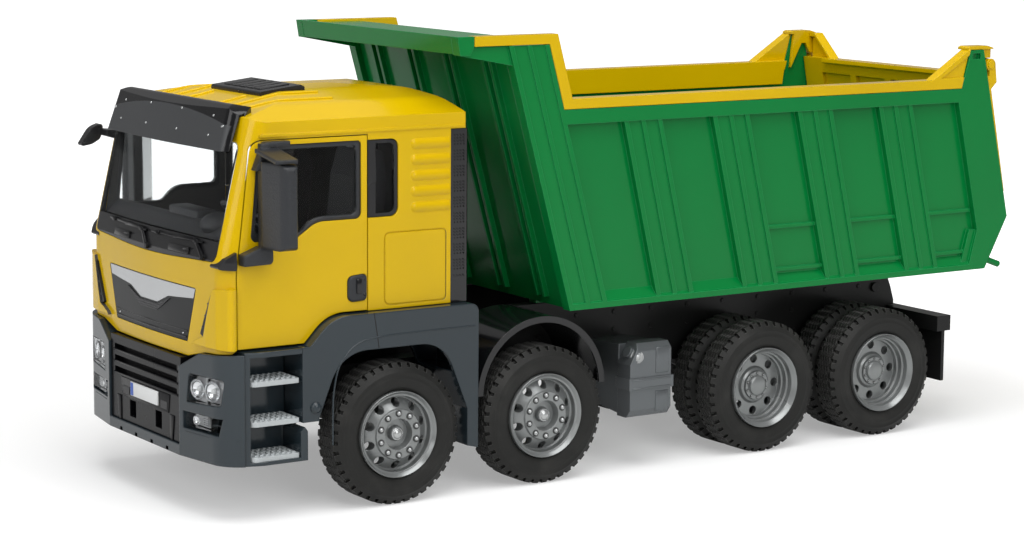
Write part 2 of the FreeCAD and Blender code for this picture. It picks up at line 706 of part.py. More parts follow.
def step_boxes():
    """The recess behind the bumper corner with three rungs' brackets, and the treads in it."""
    front, rear = S.bumper_rear - S.fit_gap, S.step_rear
    outer = S.body_half
    back = S.cab_half - S.step_inset
    low = S.bumper_low
    shell = prism("step_block", "XY", low, S.cab_sill - 0.6, [[
        (rear, back - 2), (rear, outer), (front - 8, outer, 12), (front, outer - S.step_flank),
        (front, back - 2),
    ]])
    recess = prism("step_recess", "XZ", back, outer + 1, [[
        (rear + 10, low + 1.6), (front - 2.4, low + 1.6), (front - 2.4, S.cab_sill - 3),
        (rear + 4, S.cab_sill - 3), (rear + 4, 46), (rear + 10, 40),
    ]])
    corner = prism("step_corner", "XZ", back - 3, outer + 1, [[
        (rear - 1, S.cab_sill), (rear + 9.2, S.cab_sill), (rear + 9.2, 43.6), (rear + 6.5, 40),
        (rear + 6.5, 25),
        (rear - 1, 25),
    ]])
    step = cut("step", shell, recess, corner)
    keep(both_sides("step_boxes", step), "step_boxes")
    treads = []
    for number, top in enumerate((low + 3.8, S.bumper_low + 20.0, S.bumper_low + 38.4)):
        treads.append(prism(f"tread_{number}", "XY", top - S.tread_thick, top, [[
            (rear + 10.2, back + 0.2), (rear + 10.2, outer - 0.8, 1), (front - 2.6, outer - 0.8, 3.5),
            (front - 2.6, back + 0.2),
        ]]))
    tread_set = group("tread_set", *treads)
    keep(both_sides("step_treads", tread_set), "step_treads")


def bumper_crest(end):
    """Upper edge of the bumper on one side, from its end inwards, as (y, z)."""
    inner = 54 if end > 0 else -54
    return [(end, S.cab_sill - 0.6), (inner, S.cab_sill - 3)]


def bumper():
    """Wrap-round bumper corners joined by a lip under the black middle."""
    half, rear, front = S.body_half, S.bumper_rear, S.bumper_front
    middle = 38
    plan = prism("bumper_plan", "XY", S.bumper_low, S.cab_sill + 1, [[
        (rear - 12, 0.5 - half), (front - 6, 0.5 - half, S.bumper_round), (front, -middle), (front, middle),
        (front - 6, half - 0.5, S.bumper_round), (rear - 12, half - 0.5), (rear - 12, half - 24),
        (front - 14, middle), (front - 14, -middle), (rear - 12, 24 - half),
    ]])
    face = prism("bumper_face", "YZ", rear, front + 1, [
        [(-90, S.bumper_low), (90, S.bumper_low)] + bumper_crest(90)
        + [(middle, S.cab_low - 4.4), (middle, S.bumper_low + 5), (-middle, S.bumper_low + 5),
           (-middle, S.cab_low - 4.4)] + list(reversed(bumper_crest(-90))),
    ])
    shape = common("bumper_shape", plan, face)
    lamp = prism("lamp_pocket", "YZ", front - 10.6, front + 2, [[
        (44, 52.4), (46, 66, 2), (71, 66, 2), (69, 53.6, 2),
    ]])
    fog = prism("fog_pocket", "YZ", front - 10.6, front + 2, [[(41, 40), (41, 48), (70, 48), (68, 40)]])
    keep(cut("front_bumper", shape, lamp, mirrored("lamp_pocket_other", lamp), fog,
             mirrored("fog_pocket_other", fog)), "front_bumper")
    lens = common("lens_form", plan, prism("lens_face", "YZ", front - 10.3, front + 2, [[
        (44.4, 52.8), (46.3, 65.6, 2), (70.6, 65.6, 2), (68.7, 54, 2),
    ]]))
    fog_lens = common("fog_lens_form", plan, prism("fog_lens_face", "YZ", front - 10.3, front + 2, [[
        (44, 41.6), (44, 47.7), (68, 47.7), (67, 41.6)]]))
    lamps = group("lamp_set", lens, fog_lens)
    keep(both_sides("headlamps", lamps), "headlamps")


def bumper_grille():
    """The black middle of the bumper with slats, a plate field and two square adapter sockets."""
    front = S.bumper_front - 1.2
    middle = 38 - S.fit_gap
    low, high = S.bumper_low + 5 + S.fit_gap, S.cab_low - 0.6
    block = box("grille_block", (grille_rear(), front), (-middle, middle), (low, high))
    slots = [box(f"slat_gap_{number}", (front - 3, front + 1), (-middle + 4, middle - 4), (z, z + 2.6))
             for number, z in enumerate((S.bumper_low + 27.5, S.bumper_low + 33.0, S.bumper_low + 38.5))]
    sockets = [box(f"socket_{number}", (front - 9, front + 1), (y - 3.4, y + 3.4), (low + 3, low + 11))
               for number, y in enumerate((-14, 14))]
    keep(cut("bumper_grille", block, *slots, *sockets), "bumper_grille")


chassis_frame()
axle_rods()
rear_beam()
tail_lamps()
engine_block()
second_arches()
side_tanks()
mudguards()
step_boxes()
bumper()
bumper_grille()


# ------------------------------------------------------------------------------------------------ cab
def cab_form(name, inset, tail):
    """The closed outer form of the cab, or of its inside when it is drawn inset; tail is its rear face."""
    half = S.cab_half - inset
    body = new_body(name + "_loft")
    levels = [(S.cab_low - 1, 0), (S.belt, 0), (S.roof_top + 1, S.roof_top + 1 - S.belt)]
    sections = []
    for z, rise in levels:
        front = S.cab_front - inset - size(rise) * S.screen_rake
        sections.append(draw(body, "XY", [[
            (tail, -half), (front - S.cab_bow, -half, S.cab_corner - inset), (front, 0, 620),
            (front - S.cab_bow, half, S.cab_corner - inset), (tail, half),
        ]], at=z))
    loft = body.newObject("PartDesign::AdditiveLoft", name + "_skin")
    loft.Profile = sections[0]
    loft.Sections = sections[1:]
    loft.Ruled = True
    body.Tip = loft
    top = S.roof_top - inset
    edge = S.roof_edge - inset
    crown = prism(name + "_crown", "YZ", 0, 300, [[
        (-90, 0), (-90, edge), (-half, edge, 7), (20 - half, top - 4.2, 40),
        (48 - half, top - 0.8, 120), (0, top),
        (half - 48, top - 0.8, 120), (half - 20, top - 4.2, 40), (half, edge, 7), (90, edge), (90, 0),
    ]])
    slope = prism(name + "_slope", "XZ", -90, 90, [[
        (tail, 0), (tail, top - 1.4, 9), (tail + 44, top + 0.4, 90), (S.cab_front - 62 - inset, top, 90),
        (S.cab_front - 20 - inset, top - 8, 24), (S.cab_front + 9 - inset, top - 15),
        (S.cab_front + 9 - inset, 0),
    ]])
    return common(name + "_roofed", common(name + "_crowned", body, crown), slope)


def door_outline(gap):
    """Side view of a door, drawn smaller by a gap all round."""
    front, rear = S.door_front - gap, S.door_rear + gap
    top = S.door_top - gap
    low, arch = S.cab_sill + gap, S.cab_tail + gap
    return [
        (front, low), (front, S.belt - 4), (front - (top - S.belt + 4) * S.door_rake, top, 6),
        (rear, top), (rear, arch), (S.arch_turn, arch, S.arch_bend), (S.arch_end, low),
    ]


def window_outline(inset):
    """Side view of the door window."""
    rear = S.door_rear + 3.5 + inset
    high, low = S.window_high - inset, S.window_low + inset
    return [
        (S.door_front - 7 - inset, S.window_dip + inset, 3),
        (S.door_front - 7 - inset - (high - S.window_dip) * 0.1, high, 4),
        (rear, high, 2), (rear, low, 3), (rear + 23, low, 12),
        (S.door_front - 30 - inset, S.window_dip + inset, 5),
    ]


def cab():
    """Hollow cab shell, its doors cut from the same form, the glass and the black trim in the openings."""
    half, wall = S.cab_half, S.skin
    rear = S.cab_front - S.cab_length
    outer = cab_form("cab_outer", size(0), rear - S.roof_tail)
    inner = cab_form("cab_inner", wall, rear + wall)
    gutters = [box(f"gutter_{number}", (rear - S.roof_tail + 1, S.door_front - 12), (low, high),
                   (S.gutter + 0.2, S.gutter + 1.6))
               for number, (low, high) in enumerate(((half - 1, half + 0.5), (-half - 0.5, 1 - half)))]
    shell = cut("cab_skin", fuse("cab_and_gutters", outer, *gutters), inner)
    below = prism("cab_below", "XZ", -90, 90, [[
        (S.cab_front + 9, 0), (S.cab_front + 9, S.cab_low), (S.cab_front - 3, S.cab_low),
        (S.door_front, S.cab_sill), (S.arch_end, S.cab_sill), (S.arch_turn, S.cab_tail, S.arch_bend),
        (rear, S.cab_tail), (rear, S.gutter - 0.4), (0, S.gutter - 0.4), (0, 0),
    ]])
    lintel = door_outline(size(0))[1:4]
    door_hole = prism("door_hole", "XZ", half - 6, half + 9, [
        [(S.door_front, S.cab_sill - 4)] + lintel + [(S.door_rear, S.cab_sill - 4)],
    ])
    window_rear = prism("side_window_hole", "XZ", half - 6, half + 9, [[
        (S.side_window_rear, S.window_low, 4), (S.side_window_rear, S.window_high, 4),
        (S.door_rear + 1, S.window_high), (S.door_rear + 1, S.window_low),
    ]])
    screen = prism("screen_hole", "YZ", S.cab_front - 40, S.cab_front + 9, [[
        (-screen_half(), S.belt - 0.6, 4), (-screen_half(), S.screen_top, 4),
        (screen_half(), S.screen_top, 4),
        (screen_half(), S.belt - 0.6, 4), (0, S.belt - 0.6 - S.screen_dip, 600),
    ]])
    grille_hole = prism("grille_hole", "YZ", S.cab_front - 8, S.cab_front + 9, [grille_outline(size(0))])
    over_bumper = prism("over_bumper", "YZ", S.bumper_rear - S.fit_gap, S.cab_front + 9, [
        [(-90, 0)] + [(y, z + S.fit_gap) for y, z in bumper_crest(-90)] + [(-38, S.cab_low), (38, S.cab_low)]
        + [(y, z + S.fit_gap) for y, z in reversed(bumper_crest(90))] + [(90, 0)],
    ])
    openings = [below, over_bumper, door_hole, mirrored("door_hole_other", door_hole), window_rear,
                mirrored("side_window_other", window_rear), screen, grille_hole]
    flap_groove = prism("flap_groove", "XZ", half - 0.5, half + 1, [storage_flap(0), storage_flap(0.6)])
    openings += [flap_groove, mirrored("flap_groove_other", flap_groove)]
    vents = prism("corner_vents", "YZ", S.cab_front - 12, S.cab_front + 9, [vent_outline(size(0))])
    openings += [vents, mirrored("corner_vents_other", vents)]
    bare = cut("cab_bare", shell, *openings)
    louvres, blade = louvre_bank(), corner_blade(outer)
    keep(fuse("cab_shell", bare, louvres, mirrored("louvres_other", louvres), blade,
              mirrored("blade_other", blade)), "cab_shell")
    doors(outer)
    cab_glass(outer, inner)
    front_grille(outer)
    roof_hatch(outer)
    sun_visor(outer)


def storage_flap(inset):
    """Side view of the storage flap behind the door."""
    front, rear = S.door_rear - 8.5 - inset, S.cab_front - S.cab_length + 2.4 + inset
    low, high = S.cab_tail + 1.6 + inset, S.window_low - 7.2 - inset
    return [(front, low, 2.5), (front, high, 2.5), (rear, high, 2.5), (rear, low, 2.5)]


def corner_blade(outer):
    """Air guide standing proud of each front corner of the cab, its lip running in under the air vent."""
    side, front = S.cab_half, S.cab_front
    hinge = S.door_front + 0.7
    plan = prism("blade_plan", "XY", 70, 115, [[
        (hinge, side - 6), (hinge, side + 1.2), (front - 5.8, side + 3.2, 2.5), (front - 2.4, side - 6, 6),
        (front - 1.3, side - 14), (front - 0.6, side - 28), (front - 6, side - 28),
    ]])
    face = prism("blade_face", "YZ", hinge - 1, front + 3, [[
        (side - 9.0, 106.2), (side + 6, 107.6), (side + 6, 79.4), (side - 27, 79.4), (side - 25, 80.8),
        (side - 21.0, 82.4), (side - 16.4, 83.8),
    ]])
    return cut("corner_blade", common("blade_form", plan, face), outer)


def louvre_bank():
    """Five pillow-shaped louvres on the cab side between the window and its rear edge."""
    front, rear = S.side_window_rear - 6.8, S.cab_front - S.cab_length + 1.0
    radius, proud = 3.6, 1.0
    bank = []
    for number in range(5):
        z = S.gutter - 6.6 - number * 7.35
        bar = doc.addObject("Part::Cylinder", f"louvre_{number}")
        bar.Placement = Placement(Vector(), Rotation(Vector(0, 1, 0), 90))
        bind(bar, "Radius", radius)
        bind(bar, "Height", front - radius * 0.6 - rear)
        tip = doc.addObject("Part::Sphere", f"louvre_tip_{number}")
        bind(tip, "Radius", radius)
        for thing, x in ((bar, rear), (tip, front - radius * 0.6)):
            bind(thing, "Placement.Base.x", x)
            bind(thing, "Placement.Base.y", S.cab_half - radius + proud)
            bind(thing, "Placement.Base.z", z)
        bank += [bar, tip]
    outside = box("louvre_zone", (0, 300), (S.cab_half - 1, S.cab_half + 5), (0, 300))
    return common("louvres", fuse("louvre_bank", *bank), outside)


def vent_outline(gap):
    """Front view of the slanted air vent at each front corner of the cab."""
    side = S.cab_half
    return [
        (side - 20.9 + gap, 83.0 + gap, 1), (side - 10.8 + gap, 103.4 - gap), (side - 9.2 - gap, 103.6 - gap),
        (side - 16.6 - gap, 84.6 + gap, 1),
    ]


def grille_outline(gap):
    """Front view of the grille field: wider at its top, its lower edge above the lip."""
    return [
        (-46.4 + gap, 104.6 - gap, 1), (46.4 - gap, 104.6 - gap, 1), (38.0 - gap, 79.0 + gap, 1),
        (-38.0 + gap, 79.0 + gap, 1),
    ]


def front_grille(outer):
    """Black grille field with a ledge, and the silver wing across its top."""
    face = prism("grille_face", "YZ", S.cab_front - 8, S.cab_front + 3, [grille_outline(S.fit_gap)])
    behind = box("grille_behind", (0, S.cab_front - 6), (-90, 90), (0, 200))
    field = cut("grille_field", common("grille_slab", outer, face), behind)
    wing = prism("wing_form", "YZ", S.cab_front - 3, S.cab_front + 3, [[
        (-45.6, 104.2), (45.6, 104.2), (43.8, 99.6), (20, 97.6), (9.0, 93.4, 2), (-9.0, 93.4, 2),
        (-20, 97.6), (-43.8, 99.6),
    ]])
    trim = common("wing", outer, wing)
    slot = prism("vent_face", "YZ", S.cab_front - 12, S.cab_front + 3, [vent_outline(S.fit_gap / 2)])
    core = cab_form("vent_core", 1.0, S.cab_front - S.cab_length)
    deep = cab_form("vent_deep", S.skin + 0.1, S.cab_front - S.cab_length)
    vent = cut("vent", common("vent_slab", core, slot), deep)
    keep(
        group("grille_set", cut("front_grille", field, wing), vent, mirrored("vent_other", vent)), "front_grille",
    )
    keep(trim, "grille_trim")


def doors(outer):
    """Left and right door: yellow panel, black window surround with the handle, glass."""
    half, gap = S.cab_half, S.door_gap
    slab = prism("door_slab", "XZ", half - S.door_thick, half + 1, [door_outline(gap)])
    window = prism("door_window", "XZ", half - 9, half + 9, [window_outline(size(0))])
    handle_hole = prism("handle_hole", "XZ", half - 1.4, half + 9, [[
        (S.door_rear + gap + 0.3, 96.6, 2), (S.door_rear + gap + 0.3, 109.2, 2), (S.door_rear + 11, 108.4, 3),
        (S.door_rear + 11, 96.2, 3),
    ]])
    panel = cut("door_panel", common("door_blank", outer, slab), window, handle_hole)
    frame = prism("door_frame", "XZ", half - S.door_thick, half - 0.6, [
        window_outline(size(0)), window_outline(S.window_trim),
    ])
    handle = prism("door_handle", "XZ", half - 1.4, half + 0.5, [[
        (S.door_rear + gap + 0.5, 96.8, 2), (S.door_rear + gap + 0.5, 109.0, 2),
        (S.door_rear + 10.8, 108.2, 3),
        (S.door_rear + 10.8, 96.4, 3),
    ]])
    housing = common("mirror_housing", prism("mirror_plan", "XY", 120, 170, [[
        (203.8, half + 4.6, 1.5), (213.5, half + 4.6, 3), (211.0, half + 25, 4), (203.8, half + 25, 1.5),
    ]]), prism("mirror_elevation", "YZ", 200, 220, [[
        (half + 4.0, 125.8, 4), (half + 4.0, 164.4, 4), (half + 25.5, 164.4, 5), (half + 25.5, 125.8, 5),
    ]]))
    top_mirror = prism("top_mirror", "YZ", 203.5, 214.5, [[
        (half + 4, 168.2), (half + 4, 170.0), (half + 24, 166.4), (half + 24, 164.8),
    ]])
    arm = prism("mirror_arm", "XZ", half + 0.1, half + 6.0, [[
        (206.6, 118.0, 2), (206.6, 124.8, 2), (212.0, 125.9), (221.0, 122.6), (221.0, 117.8),
    ]])
    post = box("mirror_post", (208.0, 212.0), (half + 2.0, half + 4.8), (123.0, 172.0))
    bracket = prism("mirror_bracket", "XZ", half - 0.6, half + 4.6, [[
        (197.0, 170.4), (197.0, 172.6), (209.0, 172.6, 2), (214.0, 160.0), (211.6, 160.0), (207.0, 170.4),
    ]])
    opened = fuse("mirror", housing, top_mirror, arm, post, bracket)
    folded = fuse("mirror_folded", folded_mirror(), arm)
    pane = prism("door_pane", "XZ", half - S.door_thick + 0.4, half - S.door_thick + 1.6,
                 [window_outline(S.window_trim)])
    for side, dress, mirror in (("left", lambda name, piece: piece, opened), ("right", mirrored, folded)):
        trim = group(f"door_trim_{side}", cut(f"door_frame_{side}", frame, bracket), handle,
                     cut(f"mirror_{side}", mirror, panel))
        keep(dress(f"door_{side}", panel), f"door_{side}")
        keep(dress(f"door_trim_{side}", trim), f"door_trim_{side}")
        keep(dress(f"door_glass_{side}", pane), f"door_glass_{side}")


def folded_mirror():
    """Mirror housing and its upper plate turned back along the door, on a stem of their own."""
    half = S.cab_half
    plan = [
        (199.4, half + 4.2, 1.5), (206.2, half + 11.0, 3), (190.0, half + 23.7, 4), (184.9, half + 18.6, 1.5),
    ]
    case = common("folded_case", prism("folded_plan", "XY", 120, 170, [plan]),
        prism("folded_side", "XZ", 60, 100, [[
        (183.0, 125.8, 5), (183.0, 164.4, 5), (209.0, 164.4, 4), (209.0, 125.8, 4),
    ]]))
    plate = prism("folded_plate", "XY", 166.2, 168.6, [plan])
    stem = box("folded_stem", (198.6, 203.4), (half + 0.3, half + 7.6), (121.0, 170.6))
    lower = box("folded_arm", (198.6, 210.0), (half + 0.3, half + 4.0), (119.0, 125.0))
    upper = box("folded_bracket", (197.0, 205.0), (half - 0.6, half + 4.6), (168.0, 172.6))
    return fuse("folded", case, plate, stem, lower, upper)


def roof_hatch(outer):
    """Black hatch lying on the roof slope."""
    lid = prism("hatch_lid", "XZ", -25, 25, [[
        (161.5, 184.0), (161.5, 191.9, 1), (163.5, 192.7), (185.0, 190.2, 1), (185.0, 184.0),
    ]])
    keep(cut("hatch", lid, outer), "roof_hatch")


def cab_glass(outer, inner):
    """Windscreen above its wiper apron, and the rear side panes in their black surrounds."""
    clear = S.fit_gap
    band = prism("screen_band", "YZ", S.cab_front - 40, S.cab_front + 9, [[
        (-screen_half() + clear, S.apron_top), (-screen_half() + clear, S.screen_top - clear, 4),
        (screen_half() - clear, S.screen_top - clear, 4), (screen_half() - clear, S.apron_top),
    ]])
    apron = prism("apron_band", "YZ", S.cab_front - 40, S.cab_front + 9, [[
        (-screen_half() + clear, S.belt - 0.6 + clear, 4), (-screen_half() + clear, S.apron_top),
        (screen_half() - clear, S.apron_top), (screen_half() - clear, S.belt - 0.6 + clear, 4),
        (0, S.belt - 0.6 - S.screen_dip + clear, 600),
    ]])
    shell = cut("screen_skin", outer, inner)
    front = box("screen_front", (S.cab_front - 40, S.cab_front + 9), (-90, 90), (0, 250))
    screen = common("windscreen", common("screen_zone", shell, front), band)
    low, high = S.window_low + clear, S.window_high - clear
    rear, edge = S.side_window_rear + clear, S.door_rear - clear
    surround = prism("side_surround", "XZ", S.cab_half - S.skin, S.cab_half - 0.4, [
        [(rear, low, 4), (rear, high, 4), (edge, high), (edge, low)],
        [(rear + 1.6, low + 1.6, 3), (rear + 1.6, high - 1.6, 3), (edge - 4, high - 1.6),
         (edge - 4, low + 1.6)],
    ])
    pane = prism("side_pane", "XZ", S.cab_half - S.skin + 0.4, S.cab_half - S.skin + 1.4, [[
        (rear + 1.6, low + 1.6, 3), (rear + 1.6, high - 1.6, 3), (edge - 4, high - 1.6),
        (edge - 4, low + 1.6),
    ]])
    keep(group("cab_glass", screen, pane, mirrored("side_pane_other", pane)), "cab_glass")
    apron_piece = common("wiper_apron", common("apron_zone", shell, front), apron)
    foot = prism("mirror_foot", "XZ", S.cab_half - 12, S.cab_half + 4, [[
        (222.4, 115.4, 1), (222.4, 123.6), (226.6, 120.6), (229.2, 116.8), (229.2, 115.8, 1),
    ]])
    proud = cab_form("mirror_foot_skin", size(-2.2), S.cab_front - S.cab_length)
    foot = cut("mirror_foot_clear", common("mirror_foot_proud", foot, proud), outer)
    stalk = prism("front_mirror_arm", "XZ", S.cab_half - 8, S.cab_half + 3.4, [[
        (215.6, 161.6), (215.6, 166.0), (222.0, 166.6), (222.0, 163.6),
    ]])
    glass = prism("front_mirror_case", "XZ", S.cab_half + 0.8, S.cab_half + 5.2, [[
        (220.4, 164.8, 2), (219.8, 169.4, 1.5), (226.2, 167.2, 8), (232.6, 158.0, 1), (226.0, 159.0, 6),
        (221.6, 161.4, 3),
    ]])
    front_mirror = cut("front_mirror_clear", fuse("front_mirror", stalk, glass), outer)
    keep(group("cab_trim", apron_piece, surround, mirrored("surround_other", surround), foot,
               mirrored("foot_other", foot), mirrored("front_mirror_far", front_mirror)), "cab_trim")


def cab_inside():
    """Floor, dashboard and rear shelf in one moulding, two seats and the steering wheel."""
    side = S.cab_half - S.skin - S.door_thick
    rear = S.cab_front - S.cab_length + S.skin + S.fit_gap
    dash = S.cab_front - 11.3
    floor = S.cab_tail + 2.8
    profile = [
        (rear, S.cab_tail + 0.4), (rear, floor), (dash - 18, floor), (dash - 16, 112), (dash - 13, 130, 3),
        (dash - 7, 133, 4), (dash, 126), (dash, S.cab_tail + 0.4),
    ]
    keep(prism("cab_interior", "XZ", -side, side, [profile]), "cab_interior")
    seat = prism("seat_side", "XZ", 20, 52, [[
        (132, floor), (132, floor + 8), (137, floor + 16), (133, 150), (135, 163, 2), (141, 163, 2),
        (145, 150), (149, 114, 4), (172, 116, 4), (172, 108), (164, floor),
    ]])
    keep(both_sides("seats", seat), "seats")
    wheel = doc.addObject("Part::Torus", "steering_rim")
    bind(wheel, "Radius1", 13)
    bind(wheel, "Radius2", 1.3)
    column = doc.addObject("Part::Cylinder", "steering_column")
    bind(column, "Radius", 1.8)
    bind(column, "Height", 14.9)
    column.Placement = Placement(Vector(0, 0, -14.9), Rotation())
    spokes = box("steering_spokes", (-1.4, 1.4), (-12.6, 12.6), (-1, 0.6))
    steering = fuse("steering", wheel, column, spokes)
    tilt = Rotation(Vector(0, 1, 0), -32)
    steering.Placement = Placement(Vector(0, 0, 0), tilt)
    for axis, amount in (("x", dash - 24), ("y", 36), ("z", 134)):
        bind(steering, "Placement.Base." + axis, amount)
    keep(steering, "steering_wheel")


def visor_form(name, inset):
    """The closed form of the sun visor or, drawn inset, of the hollow behind its face."""
    half, low = S.visor_half - inset, S.visor_low - inset * 2
    body = new_body(name + "_loft")
    sections = []
    for rise in (-6, 24):
        front = S.visor_front - inset - rise * S.visor_rake
        sections.append(draw(body, "XY", [[
            (S.visor_front - 22, 9 - half), (S.visor_front - 15, 3 - half, 4), (front - 3.2, -half, 5),
            (front, 0, 620), (front - 3.2, half, 5), (S.visor_front - 15, half - 3, 4),
            (S.visor_front - 22, half - 9),
        ]], at=S.visor_low + rise))
    loft = body.newObject("PartDesign::AdditiveLoft", name + "_skin")
    loft.Profile = sections[0]
    loft.Sections = sections[1:]
    loft.Ruled = True
    body.Tip = loft
    top, front = S.visor_low + 20.5 - inset, S.visor_front
    side = prism(name + "_side", "XZ", -90, 90, [[
        (front - 6.5 - inset / 5, low), (front + 9, low), (front + 9, top - 4.7), (front - 5.2, top - 3.6, 3),
        (front - 12.4, top, 5), (front - 20.6 + inset * 1.8, top - 1.6),
        (front - 20.6 + inset * 1.8, top - 5.7),
        (front - 12.6, top - 5.2),
    ]])
    face = prism(name + "_face", "YZ", front - 40, front + 9, [[
        (-half, low), (-half, top, 14 - inset), (0, top + 0.6, 400), (half, top, 14 - inset), (half, low),
    ]])
    return common(name + "_faced", common(name + "_sided", body, side), face)


def sun_visor(outer):
    """Dark hood standing before the top of the windscreen, its rear rib lying on the roof."""
    keep(
        cut("visor", visor_form("visor_outer", size(0)), visor_form("visor_inner", size(2)), outer), "sun_visor",
    )


def rear_columns():
    """Studded air intake columns behind the cab corners."""
    rear = S.cab_front - S.cab_length
    column = prism("column", "XY", S.cab_tail, S.gutter - 0.6, [[
        (rear - 10.6, S.cab_half - 14), (rear - 10.6, S.cab_half - 0.6, 2.5), (rear - 0.2, S.cab_half - 0.2),
        (rear - 0.2, S.cab_half - 14),
    ]])
    keep(both_sides("rear_columns", column), "rear_columns")


cab()
cab_inside()
rear_columns()


# ------------------------------------------------------------------------------------------------ bed
def front_x(z):
    """x of the raked front edge of the bed at a height."""
    return S.bed_front_low + (size(z) - S.bed_low) * S.front_rake


def rear_x(z):
    """x of the rear edge of the bed at a height above its rearmost corner."""
    return S.bed_rear_wide + (size(z) - S.bed_knee) * S.rear_rake


def post_x(z):
    """x of the front edge of the rear post at a height above the top rail."""
    return S.post_front_top - (size(z) - S.rail_low) * 0.28


def wall_outer():
    return S.body_half - S.rib_depth


def wall_inner():
    return S.body_half - S.rib_depth - S.bed_wall


# x of a rib's front edge from the first rib, in rib pitches, and whether thin bars follow behind it
RIBS = [
    # step, bars behind
    (0, False),
    (1, False),
    (2, True),
    (3, True),
]


# width of the raised strips along the posts and ribs
STRIP = 2.5


def canopy_cheek_top():
    """Height where the green cheek under the yellow cap of the canopy ends."""
    return S.canopy_plate - 1.7


def slanted_band(name, low_y, high_y, front, rake, width, low, high):
    """An upright band leaning forwards, from its front edge at the underside of the bed."""
    reach = (size(high) - S.bed_low) * rake
    start = (size(low) - S.bed_low) * rake
    return prism(name, "XZ", low_y, high_y, [[
        (front + start, low), (front + reach, high), (front + reach - width, high),
        (front + start - width, low),
    ]])


def rib_x(step, z):
    """x of the front edge of a rib at a height."""
    return S.rib_first - step * S.rib_pitch + (size(z) - S.bed_low) * S.rib_rake


def bed_side():
    """Pressed side wall with posts, double ribs, rails, thin bars, canopy cheek and latch peg."""
    inner, skin, outer = wall_inner(), wall_outer(), S.body_half
    low, top = S.bed_low, S.rail_top
    pieces = [prism("side_wall", "XZ", inner, skin + 0.2, [[
        (S.bed_front_low, low), (front_x(top), top), (rear_x(top), top), (S.bed_rear_wide, S.bed_knee),
        (S.bed_rear_low, low),
    ]])]
    cheek = canopy_cheek_top()
    post = S.front_post
    pieces.append(prism("canopy_cheek", "XZ", inner, outer - 1.5, [[
        (front_x(180) - post / 2, 180), (front_x(202), 202), (S.canopy_front - 1.4, S.canopy_low - 0.4),
        (S.canopy_front, S.canopy_top - 0.4), (S.canopy_front - 9, S.canopy_top - 0.4),
        (S.canopy_front - 9, cheek),
        (front_x(cheek) - post / 2, cheek),
    ]]))
    pieces.append(prism("canopy_end", "XZ", inner, outer, [[
        (S.canopy_front - 1.4, S.canopy_low - 0.4), (S.canopy_front, S.canopy_top),
        (S.canopy_front - 9, S.canopy_top), (S.canopy_front - 9, cheek),
        (S.canopy_front - 7, S.canopy_low - 0.4),
    ]]))
    pieces.append(
        slanted_band("front_post", inner, outer - 0.7, S.bed_front_low, S.front_rake, post, low, cheek),
    )
    for number, shift in enumerate((size(0), (post - STRIP) / 2, post - STRIP)):
        pieces.append(slanted_band(f"front_post_strip_{number}", skin, outer, S.bed_front_low - shift,
                                   S.front_rake, STRIP, low, cheek))
    pieces.append(prism("rear_post", "XZ", inner, outer, [[
        (S.bed_rear_low, low), (S.bed_rear_low + S.post_rear_low, low), (S.post_front_top - 15.9, 104.2),
        (S.post_front_top, S.rail_low), (post_x(S.post_top), S.post_top), (rear_x(S.post_top), S.post_top),
        (S.bed_rear_wide, S.bed_knee),
    ]]))
    pieces.append(prism("post_foot", "XZ", skin, outer - 1.4, [[
        (S.bed_rear_low + S.post_rear_low - 1, low + 2), (S.bed_rear_low + S.post_rear_low + 4.2, low + 2),
        (S.post_front_top - 11.6, 104.6), (S.post_front_top - 16.9, 104.2),
    ]]))
    pieces.append(prism("top_rail", "XZ", skin, outer, [[
        (front_x(S.rail_low) - post, S.rail_low), (front_x(top) - post, top),
        (S.post_front_top - 2, top), (S.post_front_top - 2, S.rail_low),
    ]]))
    pieces.append(prism("low_rail", "YZ", S.bed_rear_low + 4, S.bed_front_low - 1, [[
        (skin, low), (outer, low), (outer, low + 3.0), (outer - 0.8, low + 3.4), (skin, low + 8.0),
    ]]))
    for step, _ in RIBS:
        front = S.rib_first - step * S.rib_pitch
        pieces.append(slanted_band(f"rib_{step}", skin, outer - 1.3, front, S.rib_rake, S.rib_width, low,
                                   S.rail_low + 1))
        for number, shift in enumerate((size(0), (S.rib_width - STRIP) / 2, S.rib_width - STRIP)):
            pieces.append(slanted_band(f"rib_{step}_strip_{number}", skin, outer - 0.4, front - shift,
                                       S.rib_rake, STRIP, low, S.rail_low + 1))
    for step, bars in RIBS:
        if not bars:
            continue
        for number, z in enumerate((92.0, 114.0)):
            start = rib_x(step - 1, z) - S.rib_width + 1
            pieces.append(
                box(f"bar_{step}_{number}", (rib_x(step, z) - 1, start), (skin, skin + 1.6), (z, z + 1.8)),
            )
    for number, z in enumerate((92.0, 114.0)):
        pieces.append(box(f"bar_last_{number}", (S.post_front_top - 12.5, rib_x(3, z) - S.rib_width + 1),
                          (skin, skin + 1.6), (z, z + 1.8)))
    peg = doc.addObject("Part::Cylinder", "latch_peg")
    bind(peg, "Radius", 1.7)
    bind(peg, "Height", 14.2)
    peg.Placement = Placement(Vector(0, 0, 0), Rotation(Vector(0, 1, 0), -110))
    bind(peg, "Placement.Base.x", S.bed_rear_low + 1.0)
    bind(peg, "Placement.Base.y", outer - 3.0)
    bind(peg, "Placement.Base.z", low + 6.0)
    pieces.append(peg)
    side = fuse("bed_side_form", *pieces)
    slot = box("post_slot", (rear_x(S.post_top) + 2.2, rear_x(S.post_top) + 7.6), (outer - 1.8, outer + 1),
               (S.post_top - 4.6, S.post_top - 1.6))
    side = cut("bed_side", side, slot)
    keep(side, "bed_side_left")
    keep(mirrored("bed_side", side), "bed_side_right")


